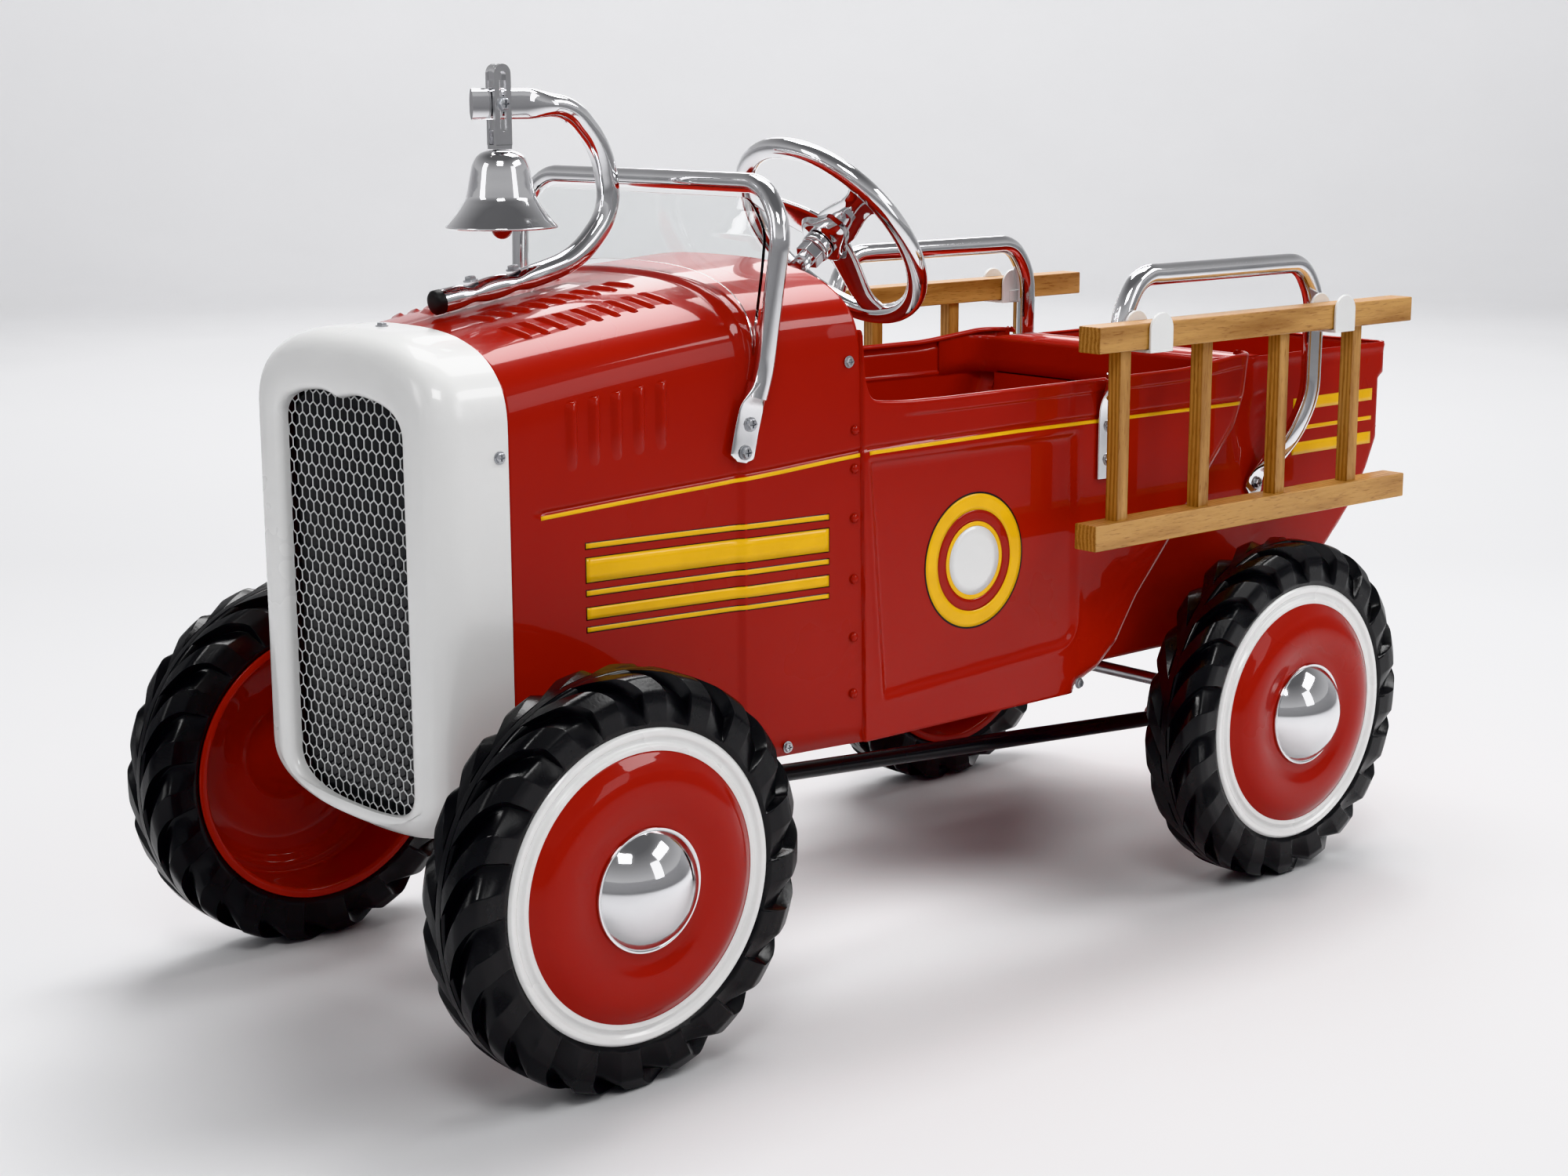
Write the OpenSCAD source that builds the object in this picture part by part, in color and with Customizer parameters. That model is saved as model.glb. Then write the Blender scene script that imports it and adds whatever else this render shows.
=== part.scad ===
// Pedal fire engine: a pressed steel body on four lugged wheels, driven by
// two hanging pedals and a cranked rear axle, with a bell, a windshield,
// grab rails and two lift-off wooden ladders.
// Millimetres. The front faces -Y, the left side is +X and +Z is up.
// Inside the modules y counts back from the front axle. car() then moves
// everything so that the origin lies on the floor under the car's middle.

/* [Wheels] */
// Radius of each tyre over its lugs
tyre_r = 160; // [157:0.5:161]
// Width of each tyre
tyre_w = 63; // [58:0.5:63]
// Distance between the two axles
wheelbase = 780; // [776:1:784]
// Middle plane of each wheel, from the centre line
wheel_x = 227; // [226:0.5:232]

/* [Body] */
// Sheet metal thickness
sheet = 2; // [1.6:0.1:2.2]
// Height of the body's bottom edge
sill_z = 200; // [198:0.5:202]
// Height of the cockpit rim
rim_z = 484; // [482:0.5:486]
// Half width of the side panels
side_x = 173; // [173:0.1:174]
// Half width of the rear bed
bed_x = 150; // [149.5:0.1:150.5]
// Back end of the bed's lip
bed_end_y = 1045; // [1040:1:1050]

/* [Steering] */
// Lean of the steering column above the floor, in degrees
column_lean = 37.2; // [37:0.05:37.4]
// Middle radius of the steering wheel's ring
wheel_ring_r = 94.3; // [88:0.1:98]
// Throw of the column's crank, equal to the steering arms
steer_arm = 60; // [60:0.1:60.4]
// Kingpins from the centre line
kingpin_x = 165; // [164:0.5:166]

/* [Pedals] */
// Throw of the rear axle's cranks
crank_r = 38.2; // [34:0.1:38.5]
// Middle plane of the push rods, from the centre line
rod_x = 113; // [112.8:0.1:113.2]
// Length of each pedal lever
lever_l = 262; // [260:0.5:264]

/* [Bell and ladders] */
// Radius of the bell's lip
bell_r = 45; // [40:0.5:46]
// Length of each ladder
ladder_l = 448; // [420:1:460]

/* [Hidden] */
$fn = 48;
axle_z = tyre_r;
mid_y = (bed_end_y - tyre_r) / 2;            // middle of the whole length
axle_r = 6.35;                               // spindles and rear axle
run = 0.05;                                  // radial running clearance

// Front body: half width, crown height and back edge
hood_y0 = -24.7;
hood_y1 = 296;
shoulder_h = 71;                             // height of the rounded crown
crown_power = 2.7;                           // squareness of the crown
ridge = 4;                                   // cowl stands this proud
function half_w(y) = 134 + 0.075 * y + 0.00016 * y * y;
function crown_z(y) = lookup(y, [[-25, 556], [0, 560.5], [112, 578], [181, 588], [186, 588 + ridge], [292, 598]]);

// Radiator shell
nose_y = -92;
shell_w = 134;
shell_z0 = 165;
shell_z1 = 559;
grille_w = 89;
grille_z0 = 183;
grille_z1 = 511;

// Steering column, from the wheel's centre down to its end
column_o = [0, 418, 611];
column_r = 8;
column_end = 604;
crank_s = 541;
lower_bearing_s = 592;

// Kingpins, and the spindles' ends outside the hubs
kingpin_r = 5;
spindle_end = wheel_x + 37.6;
cap_start = wheel_x + 37.4;
cap_end = wheel_x + 42;
cap_r = 10;

// Tie rod behind the front axle, its pins and the column's crank pin
tie_pin_r = 4;
tie_z = axle_z + 5.3;
tie_y = steer_arm;
lug_s = 556.6;

// Pedals: radii of the pivot and the pins, the pivot, the two crank angles, and the lever's lean that each needs
pivot_r = 6;
pedal_pin_r = 5;
eye_r = 12;                                  // eyes of the push rods and levers
pivot = [130, 440];
crank_deg = [225, 45];                       // left, right, from +y towards +z
rod_len = norm([wheelbase - pivot[0], axle_z - pivot[1] + lever_l]);
rear_axle_p = [wheelbase, axle_z];
function crank_pin(i) = rear_axle_p + crank_r * [cos(crank_deg[i]), sin(crank_deg[i])];
// The pedal pin is where the lever's circle meets the rod's circle
function pedal_pin(i) = let (c = crank_pin(i), d = norm(c - pivot), u = (c - pivot) / d,
    a = (lever_l * lever_l - rod_len * rod_len + d * d) / (2 * d), h = sqrt(lever_l * lever_l - a * a))
    pivot + a * u + h * [u[1], -u[0]];
function lean(a, b) = atan2(b[1] - a[1], b[0] - a[0]);

// Outline of the side panel's sweep over the rear wheel, in y and z
sweep = [[570, 203], [598, 212], [625, 233], [652, 272], [703, 326], [750, 378], [786, 418], [800, 450], [806, 490]];
tail = [[1043, 482], [1043, 447], [1036, 445], [1036, 382], [1021, 353], [997, 319], [959, 283], [915, 246]];

// Grab rails, windshield tube and gooseneck, as centre lines
rail_r = 9.5;
rail_x = 188;
bell_o = [0, 67, 726];                       // the bell's bolt
bell_bolt_r = 3;
strap_top = 757;

// ---------- Helpers ----------

module car() translate([0, -mid_y, 0]) children();

// A side of the car: 1 keeps the left, -1 mirrors it to the right
module side(s) mirror([s < 0 ? 1 : 0, 0, 0]) children();

// A flat outline in y and z, as a plate between two x planes
module plate_x(x0, x1) translate([x0, 0, 0]) rotate([90, 0, 90]) linear_extrude(x1 - x0) children();

// A flat outline in x and z, as a plate between two y planes
module plate_y(y0, y1) translate([0, y1, 0]) rotate([90, 0, 0]) linear_extrude(y1 - y0) children();

// A round bar along X
module bar_x(x0, x1, r, y, z) translate([x0, y, z]) rotate([0, 90, 0]) cylinder(r = r, h = x1 - x0);

// Local Z runs up the steering column from the steering wheel's centre
module on_column() translate(column_o) rotate([column_lean - 90, 0, 0]) children();

// A strip of even thickness along a line of points, to the line's left
function strip(p, t) = let (n = len(p)) concat(p, [for (i = [n - 1:-1:0])
    let (a = p[max(i - 1, 0)], b = p[min(i + 1, n - 1)], d = (b - a) / norm(b - a)) p[i] + t * [-d[1], d[0]]]);

// Faces of a grid of rows by cols points that closes on itself both ways
function loop_faces(rows, cols) = [for (i = [0:rows - 1], j = [0:cols - 1])
    let (a = i * cols + j, b = i * cols + (j + 1) % cols, c = ((i + 1) % rows) * cols + (j + 1) % cols,
        d = ((i + 1) % rows) * cols + j) each [[a, c, b], [a, d, c]]];

// Joins closed rows of points into one ring-shaped solid
module ring_loft(rows) polyhedron([for (r = rows) each r], loop_faces(len(rows), len(rows[0])), convexity = 8);

// Round tube along a smooth path; ref is any vector square to the path
module tube(path, r, ref, sides = 12) {
    n = len(path);
    rings = [for (i = [0:n - 1]) let (t = path[min(i + 1, n - 1)] - path[max(i - 1, 0)], u = t / norm(t),
        a = cross(u, ref), v = a / norm(a), w = cross(v, u))
        [for (k = [0:sides - 1]) path[i] + r * (cos(360 * k / sides) * v + sin(360 * k / sides) * w)]];
    body = [for (i = [0:n - 2], k = [0:sides - 1]) let (a = i * sides + k, b = i * sides + (k + 1) % sides)
        each [[a, b, b + sides], [a, b + sides, a + sides]]];
    caps = [[for (k = [sides - 1:-1:0]) k], [for (k = [0:sides - 1]) (n - 1) * sides + k]];
    polyhedron([for (g = rings) each g], concat(body, caps), convexity = 8);
}

// Rounds every inner corner of a line of points with a short curve
function rounded(p, r, steps = 5) = [for (i = [0:len(p) - 1])
    if (i == 0 || i == len(p) - 1) p[i]
    else let (a = p[i - 1] - p[i], b = p[i + 1] - p[i], q = min(r, 0.45 * norm(a), 0.45 * norm(b)),
        s = p[i] + q * a / norm(a), e = p[i] + q * b / norm(b))
        each [for (k = [0:steps]) let (t = k / steps) (1 - t) * (1 - t) * s + 2 * t * (1 - t) * p[i] + t * t * e]];

// Quarter of a rounded crown: x falls from w to 0 while z rises by h
function crown(w, h, n, steps) = [for (k = [0:steps]) let (a = 90 * k / steps)
    [w * pow(max(cos(a), 0), 2 / n), h * pow(sin(a), 2 / n)]];

// Closed upright outline with a crowned top and a rounded bottom
function shield(w, z0, z1, top_h, low_h) = let (steps = 8,
    t = [for (c = crown(w, top_h, crown_power, steps)) [c[0], z1 - top_h + c[1]]],
    b = [for (c = crown(w, low_h, crown_power, steps)) [c[0], z0 + low_h - c[1]]])
    concat(t, [for (i = [steps - 1:-1:0]) [-t[i][0], t[i][1]]], [for (c = b) [-c[0], c[1]]],
        [for (i = [steps - 1:-1:0]) b[i]]);

// Section of the front body at y, drawn in by i, from the left sill over the crown to the right sill
function hood_section(y, i) = let (w = half_w(y) - i, h = shoulder_h - i, z = crown_z(y) - i,
    top = [for (c = crown(w, h, crown_power, 9)) [c[0], z - h + c[1]]],
    half = concat([for (k = [0:2]) [w, sill_z + (z - h - sill_z) * k / 3]], top))
    concat(half, [for (k = [len(half) - 2:-1:0]) [-half[k][0], half[k][1]]]);

// ---------- Body ----------

module radiator_shell() {
    // Each row is one outline: y, inset from the outside, or growth from the opening
    outside = [[-25, 0], [-70, 0], [-82, 2.5], [-89.5, 9], [nose_y, 18]];
    opening = [[-91, 5], [-87, 0.8], [-81, 0], [-81, 2.5], [-88.6, 5.5]];
    inside = [[-89.6, 18.6], [-87.2, 10.8], [-81, 4.8], [-69.6, sheet], [-25, sheet]];
    function outer(r) = [for (p = shield(shell_w - r[1], shell_z0 + r[1], shell_z1 - r[1], 73 - r[1], 55 - r[1]))
        [p[0], r[0], p[1]]];
    function inner(r) = [for (p = shield(grille_w + r[1], grille_z0 - r[1], grille_z1 + r[1], 30 + r[1], 35 + r[1]))
        [p[0], r[0], p[1]]];
    color("white") car()
        ring_loft(concat([for (r = outside) outer(r)], [for (r = opening) inner(r)], [for (r = inside) outer(r)]));
}

module grille_mesh() color("dimgray") car()
    plate_y(-80.9, -79.3) polygon(shield(grille_w + 12, grille_z0 - 9, grille_z1 + 9, 42, 47));

module front_body() {
    stations = [hood_y0, 10, 50, 90, 130, 160, 181, 186, 220, 255, hood_y1];
    // The back edge leans: the crown ends ahead of the sides
    function back(y, z) = y < hood_y1 ? y : lookup(z, [[sill_z, 303], [506, 298], [598, 290]]);
    rows = [for (i = [0, sheet]) [for (y = stations) [for (p = hood_section(y, i)) [p[0], back(y, p[1]), p[1]]]]];
    n = len(stations);
    m = len(rows[0][0]);
    points = [for (g = rows) for (r = g) each r];
    wall = [for (i = [0:n - 2], j = [0:m - 2]) let (a = i * m + j, o = n * m)
        each [[a, a + 1, a + m + 1], [a, a + m + 1, a + m],
            [o + a, o + a + m + 1, o + a + 1], [o + a, o + a + m, o + a + m + 1]]];
    ends = [for (j = [0:m - 2]) let (o = n * m, b = (n - 1) * m)
        each [[j, o + j + 1, j + 1], [j, o + j, o + j + 1],
            [b + j, b + j + 1, o + b + j + 1], [b + j, o + b + j + 1, o + b + j]]];
    sills = [for (i = [0:n - 2]) let (a = i * m, b = i * m + m - 1, o = n * m)
        each [[a, a + m, o + a + m], [a, o + a + m, o + a],
            [b, o + b + m, b + m], [b, o + b, o + b + m]]];
    color("firebrick") car() polyhedron(points, concat(wall, ends, sills), convexity = 8);
}

module side_panel(s) color("firebrick") car() side(s) {
    rim = rounded([[298.5, 545], [299.5, 508], [308, 486], [338, rim_z], [392, rim_z - 1]], 14);
    top = concat(rim, [[700, rim_z - 1], [780, rim_z + 6], [806, rim_z + 6]]);
    plate_x(side_x - sheet, side_x)
        polygon(concat([[303.3, sill_z]], top, [for (i = [len(sweep) - 1:-1:0]) sweep[i]], [[556, sill_z]]));
    // The step from the panel in to the bed side follows the sweep
    plate_x(bed_x, side_x) polygon(strip(sweep, sheet));
    // Rolled rim
    plate_x(side_x - 8, side_x - sheet)
        polygon(concat([for (p = rim) if (p[1] < 520) p], [[778, rim_z + 6], [778, rim_z + 3]],
            [for (i = [len(rim) - 1:-1:0]) if (rim[i][1] < 520) rim[i] - [0, 2.5]]));
}

module bed_side(s) color("firebrick") car() side(s) plate_x(bed_x - sheet, bed_x)
    polygon(concat([[560, 212]], [for (i = [1:7]) sweep[i] - [8, 0]],
        [[797, 480], [bed_end_y, 482], [bed_end_y, 446.5], [1038, 444.5], [1038, 382], [1023, 352], [999, 318],
            [961, 281], [915, 244], [885, 215]]));

module tail_panel() color("firebrick") car() {
    plate_x(-bed_x + sheet, bed_x - sheet) polygon(strip(tail, -sheet));
    // Rolled lip along the top of the tail
    plate_x(-bed_x + sheet, bed_x - sheet) polygon([[1040, 479], [1043, 479], [bed_end_y, 480.5], [1043, 482], [1040, 482]]);
}

module bed_floor() color("firebrick") car()
    translate([-bed_x + sheet, 842.3, 398]) cube([2 * (bed_x - sheet), 191, sheet]);

module seat_back() color("firebrick") car() {
    wide = side_x - sheet - 0.2;
    low = bed_x - sheet;
    plate_y(780, 782) polygon([[-low, 333], [low, 333], [low, 430], [wide, 452], [wide, 482], [-wide, 482],
        [-wide, 452], [-low, 430]]);
    translate([-low, 780, 482]) cube([2 * low, 62, sheet]);
    translate([-low, 840, 390]) cube([2 * low, sheet, 92]);
}

module seat_pan() color("firebrick") car() {
    low = bed_x - sheet;
    translate([-low, 590, 331]) cube([2 * low, 190, sheet]);
    translate([-low, 590, 300]) cube([2 * low, sheet, 31]);
}

module dash_panel() color("firebrick") car() difference() {
    w = half_w(283) - sheet - 0.8;
    plate_y(281, 283) polygon(concat([[w, 486]], [for (c = crown(w, 68, crown_power, 9))
        [c[0], crown_z(283) - sheet - 0.8 - 68 + c[1]]],
        [for (c = [for (k = [8:-1:0]) crown(w, 68, crown_power, 9)[k]])
            [-c[0], crown_z(283) - sheet - 0.8 - 68 + c[1]]], [[-w, 486]]));
    on_column() translate([0, 0, -220]) cylinder(r = 12, h = 100);
}

// ---------- Front axle and steering ----------

module front_axle_bracket() color("dimgray") car() {
    w = 129.5;
    translate([-w, -22, 206]) cube([2 * w, 38, 3]);
    for (x = [-w, w - 2.5]) translate([x, -22, 209]) cube([2.5, 38, 26]);
    for (x = [-60, 56]) translate([x, -22, 170]) cube([4, 38, 36]);
}

module front_axle_beam() color("dimgray") car() difference() {
    union() {
        translate([-kingpin_x + 14, -8, 150]) cube([2 * kingpin_x - 28, 16, 20]);
        for (s = [-1, 1]) {
            translate([s * (kingpin_x - 16) - 3.5, -9, 141.5]) cube([7, 18, 37]);
            for (z = [141.5, 172.5]) translate([s * kingpin_x, 0, z]) {
                cylinder(r = 11, h = 6);
                translate([s < 0 ? 0 : -16, -9, 0]) cube([16, 18, 6]);
            }
        }
    }
    for (s = [-1, 1]) translate([s * kingpin_x, 0, 130]) cylinder(r = kingpin_r, h = 60);
}

module kingpins() color("silver") car() for (s = [-1, 1]) translate([s * kingpin_x, 0, 0]) {
    translate([0, 0, 139]) cylinder(r = kingpin_r, h = 43);
    translate([0, 0, 178.5]) cylinder(r = 8, h = 3.5);
}

module knuckle(s) color("silver") car() side(s) difference() {
    union() {
        translate([kingpin_x, 0, 148.3]) cylinder(r = 10.5, h = 23.4);
        bar_x(kingpin_x + 6, spindle_end, axle_r, 0, axle_z);
        // Push-on cap that holds the wheel on the spindle
        bar_x(cap_start, cap_end, cap_r, 0, axle_z);
        translate([kingpin_x - 6, 4, tie_z - 11.3]) cube([12, steer_arm - 4, 7.5]);
        translate([kingpin_x, steer_arm, tie_z - 11.3]) cylinder(r = 10, h = 7.5);
        translate([kingpin_x, steer_arm, tie_z - 6]) cylinder(r = tie_pin_r, h = 13);
        translate([kingpin_x, steer_arm, tie_z + 3.4]) cylinder(r = 7, h = 3);
    }
    translate([kingpin_x, 0, 140]) cylinder(r = kingpin_r + run, h = 40);
}

module tie_rod() color("dimgray") car() difference() {
    union() {
        for (s = [-1, 1]) translate([s * kingpin_x, tie_y, tie_z - 3]) cylinder(r = 9, h = 6);
        translate([-kingpin_x, tie_y - 7, tie_z - 3]) cube([2 * kingpin_x, 14, 6]);
        // Slotted lug that the column's crank moves from side to side
        difference() {
            on_column() translate([-13, 44, -lug_s]) cube([26, 98, 4]);
            translate([-20, 0, tie_z - 43]) cube([40, 120, 40]);
        }
    }
    translate([kingpin_x, tie_y, 150]) cylinder(r = tie_pin_r + run, h = 30);
    // The right pivot is the open one, so its hole is a little large
    translate([-kingpin_x, tie_y, 150]) cylinder(r = tie_pin_r + 0.4, h = 30);
    on_column() translate([-4.3, steer_arm - 8, -lug_s - 2]) cube([8.6, 15, 8]);
}

module steering_column() color("silver") car() on_column() {
    translate([0, 0, -column_end]) cylinder(r = column_r, h = column_end - 8);
    translate([-9, 0, -crank_s - 2.5]) cube([18, steer_arm, 5]);
    translate([0, steer_arm, -crank_s - 2.5]) cylinder(r = 9, h = 5);
    translate([0, steer_arm, -crank_s - 21]) cylinder(r = tie_pin_r, h = 21);
}

module column_bush() color("black") car() on_column() difference() {
    translate([0, 0, -176]) cylinder(r = 11.8, h = 12);
    translate([0, 0, -180]) cylinder(r = column_r + run, h = 20);
}

module steering_bracket() color("dimgray") car() difference() {
    on_column() difference() {
        union() {
            translate([0, 0, -lower_bearing_s]) cylinder(r = 15, h = 8);
            translate([-15, 0, -lower_bearing_s]) cube([30, 90, 5]);
        }
        translate([0, 0, -lower_bearing_s - 2]) cylinder(r = column_r + run, h = 14);
    }
    translate([-30, -60, 109]) cube([60, 120, 100]);
}

module steering_wheel() color("silver") car() on_column() {
    rotate_extrude($fn = 64) translate([wheel_ring_r, 0]) circle(r = 9, $fn = 24);
    for (a = [90, 210, 330]) rotate(a) translate([12, -9, -4]) cube([wheel_ring_r - 18, 18, 6]);
    difference() {
        translate([0, 0, -14]) cylinder(r = 24, h = 22);
        translate([0, 0, -20]) cylinder(r = column_r, h = 12);
    }
}

module steering_nut() color("silver") car() on_column()
    difference() {
        translate([0, 0, -36]) cylinder(r = 14, h = 21.5);
        translate([0, 0, -40]) cylinder(r = column_r, h = 30);
    }

// ---------- Pedals and drive ----------

module pedal_pivot_rod() color("silver") car() bar_x(-143.6, 143.6, pivot_r, pivot[0], pivot[1]);

module pedal_lever(i) color("dimgray") car() {
    p = pedal_pin(i);
    side(i == 0 ? 1 : -1) difference() {
        union() {
            for (c = [pivot, p]) bar_x(rod_x - 13, rod_x - 9, eye_r, c[0], c[1]);
            translate([rod_x - 13, pivot[0], pivot[1]]) rotate([lean(pivot, p), 0, 0])
                translate([0, 0, -11]) cube([4, lever_l, 22]);
            bar_x(38, rod_x - 8, pedal_pin_r, p[0], p[1]);
            bar_x(rod_x - 16, rod_x - 9, 10, pivot[0], pivot[1]);
        }
        bar_x(90, 120, pivot_r + run, pivot[0], pivot[1]);
    }
}

module pedal_pad(i) color("black") car() {
    p = pedal_pin(i);
    side(i == 0 ? 1 : -1) difference() {
        translate([40, p[0], p[1]]) rotate([lean(pivot, p) + 90, 0, 0]) translate([0, -11, -32]) cube([56, 22, 64]);
        bar_x(30, 104, pedal_pin_r, p[0], p[1]);
    }
}

module push_rod(i) color("black") car() {
    c = crank_pin(i);
    p = pedal_pin(i);
    side(i == 0 ? 1 : -1) difference() {
        union() {
            for (e = [c, p]) bar_x(rod_x - 7.5, rod_x + 7.5, eye_r, e[0], e[1]);
            translate([rod_x, c[0], c[1]]) rotate([lean(c, p) - 90, 0, 0]) cylinder(r = 7.5, h = norm(p - c));
        }
        bar_x(rod_x - 10, rod_x + 10, axle_r + run, c[0], c[1]);
        bar_x(rod_x - 10, rod_x + 10, pedal_pin_r + 0.5, p[0], p[1]);
    }
}

module rear_axle() color("silver") car() {
    bar_x(-rod_x + 9, rod_x - 9, axle_r, wheelbase, axle_z);
    for (i = [0, 1]) side(i == 0 ? 1 : -1) {
        c = crank_pin(i);
        bar_x(rod_x + 9, spindle_end, axle_r, wheelbase, axle_z);
        bar_x(cap_start, cap_end, cap_r, wheelbase, axle_z);
        bar_x(rod_x - 14, rod_x + 14, axle_r, c[0], c[1]);
        for (x = [rod_x - 15, rod_x + 8]) plate_x(x, x + 7) {
            for (e = [c, rear_axle_p]) translate(e) circle(r = 10);
            translate(rear_axle_p) rotate(crank_deg[i]) translate([0, -9]) square([crank_r, 18]);
        }
    }
}

module axle_hangers() color("dimgray") car() for (s = [-1, 1]) side(s) difference() {
    plate_x(bed_x - sheet - 4, bed_x - sheet)
        polygon([[758, 141], [802, 141], [812, 230], [812, 300], [748, 300], [748, 230]]);
    bar_x(130, 160, 10, wheelbase, axle_z);
}

module axle_bushes() color("goldenrod") car() for (s = [-1, 1]) side(s) difference() {
    bar_x(bed_x - 9, bed_x + 1, 10, wheelbase, axle_z);
    bar_x(130, 160, axle_r + run, wheelbase, axle_z);
}

// ---------- Wheels ----------

// Places a wheel whose axle is local Z, pointing out of the car
module at_wheel(s, y) side(s) translate([wheel_x, y, axle_z]) rotate([0, 90, 0]) children();

module tyre(s, y) color("#1a1a1a") car() at_wheel(s, y) rotate_extrude($fn = 96) {
    h = tyre_w / 2;
    polygon([[113.5, -h + 4], [113.5, h - 6.4], [121.3, h - 3.6], [127, h], [142, h], [tyre_r - 7, h - 3],
        [tyre_r - 1.5, h - 9], [tyre_r, h - 16], [tyre_r, 16 - h], [tyre_r - 1.5, 9 - h], [tyre_r - 7, 3 - h],
        [142, -h], [127, -h], [121.3, -h + 3.5]]);
}

// One pressed disc with its hub and the rim that the tyre sits on
module wheel(s, y) color("firebrick") car() at_wheel(s, y) rotate_extrude($fn = 96) {
    h = tyre_w / 2;
    b = axle_r + run;
    polygon([[b, -26], [b, 37.2], [48, 37.2], [62, 38.6], [80, 38.6], [95, 35], [103, 30.4], [106, h], [120.5, h],
        [120.8, h - 3], [113.2, h - 5.8], [113.2, -h + 3.5], [119, -h + 3], [119, -h + 0.5], [111, -h + 0.5],
        [110.5, h - 7], [102, h - 5.5], [94, 32], [79, 36], [62, 36], [42, 34], [20, 8], [14, -26]]);
}

module hubcap(s, y) {
    r = 47.9;
    dome = 24.5;
    ball = (r * r + dome * dome) / (2 * dome);
    z0 = 39.2;
    edge = asin((ball - dome) / ball);
    function arc(q, a0) = [for (k = [0:8]) let (a = a0 + (90 - a0) * k / 8)
        [max(q * cos(a), 0), z0 + q * sin(a) - ball + dome]];
    color("silver") car() at_wheel(s, y) rotate_extrude($fn = 64)
        polygon(concat([[r - 1.6, 37.3], [r, 37.3]], arc(ball, edge),
            [for (k = [8:-1:0]) arc(ball - 1.6, edge + 1)[k]]));
}

// ---------- Windshield ----------

module windshield_frame() color("silver") car() {
    leg = [[163.4, 193, 498], [165, 199, 520], [175.5, 209, 632], [147, 215, 664]];
    half = rounded(concat(leg, [[0, 218, 664]]), 24);
    tube(concat(half, [for (i = [len(half) - 2:-1:0]) [-half[i][0], half[i][1], half[i][2]]]), 8, [0, 1, 0], 12);
    // Flattened feet, bolted to the cowl's sides
    for (s = [-1, 1]) side(s) hull() {
        translate([155.4, 176, 452]) rotate([0, 90, 0]) cylinder(r = 8, h = 3, $fn = 32);
        translate([156.4, 188, 449]) rotate([0, 90, 0]) cylinder(r = 8, h = 3, $fn = 32);
        translate([157, 182, 494]) cube([3, 22, 8]);
    }
}

module windshield_pane() color([0.85, 0.95, 1, 0.35]) car() {
    // A flat sheet that leans with the frame and clears the cowl below it
    arch = crown(157, 75, crown_power, 8);
    low = [for (k = [1:8]) [arch[k][0], 523 + arch[k][1]]];
    outline = [[157.5, 552], [162, 600], [163, 627], [154, 641], [141, 654], [0, 655]];
    tilt = atan2(10, 120);
    translate([0, 190.5, 500]) rotate([-tilt, 0, 0]) translate([0, 0, -500])
        plate_y(0, 3) polygon(concat(outline, [for (i = [4:-1:0]) [-outline[i][0], outline[i][1]]],
            [for (c = low) [-c[0], c[1]]], [for (i = [len(low) - 2:-1:0]) low[i]]));
}

// ---------- Bell ----------

module bell_arm() color("silver") car() {
    // Gooseneck tube
    neck = rounded([[0, 6, 574.5], [0, 90, 588], [0, 140, 601], [0, 176, 640], [0, 167, 690], [0, 137, 722],
        [0, 96, 726]], 30);
    tube(neck, 9.5, [1, 0, 0], 14);
    // The end is flattened into an upright plate
    difference() {
        plate_x(-2.5, 2.5) polygon([[40, 716], [42, 714], [88, 714], [102, 719], [102, 733], [88, 738], [42, 738],
            [40, 736]]);
        bar_x(-5, 5, bell_bolt_r + run, bell_o[1], bell_o[2]);
    }
}

module arm_plug() color("black") car() translate([0, 5.5, 574.4]) rotate([97, 0, 0]) cylinder(r = 9.6, h = 7);

module bell_strap() color("silver") car() {
    // Two slotted legs join over the plate and hold the bell's crown
    difference() {
        for (x = [-6, 3]) plate_x(x, x + 3) polygon(concat([[59, 694], [75, 694]],
            [for (a = [0:15:180]) [67 + 8 * cos(a), strap_top - 8 + 8 * sin(a)]]));
        plate_x(-10, 10) polygon(concat([for (a = [180:30:360]) [67 + 3.2 * cos(a), 708 + 3.2 * sin(a)]],
            [for (a = [0:30:180]) [67 + 3.2 * cos(a), 748 + 3.2 * sin(a)]]));
    }
    translate([-3, 59, 745]) cube([6, 16, 9]);
    translate([-6, 59, 691]) cube([12, 16, 3]);
    bar_x(-6, 6, bell_bolt_r, bell_o[1], bell_o[2]);
    for (x = [-10, 6]) bar_x(x, x + 4, 6, bell_o[1], bell_o[2]);
}

// Profile of the bell's wall: a round shoulder, a straight waist and a flared lip
module bell() color("silver") car() translate([0, bell_o[1], 0]) rotate_extrude($fn = 64) {
    outer = [[0, 690.8], [12, 690], [19, 686], [23, 678], [25.5, 665], [28.5, 652], [34, 641], [bell_r, 630.5]];
    polygon(concat(outer, [[bell_r - 1, 629], [32, 638.5], [26.5, 650], [23.5, 664], [21, 676], [17.5, 683], [11, 687],
        [0, 687.8]]));
}

module clapper() color("firebrick") car() translate([0, bell_o[1], 0]) {
    translate([0, 0, 629]) sphere(r = 8.5);
    translate([0, 0, 635]) cylinder(r = 1.8, h = 48);
    translate([0, 0, 683]) sphere(r = 3);
}

// ---------- Grab rails and ladders ----------

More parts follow.
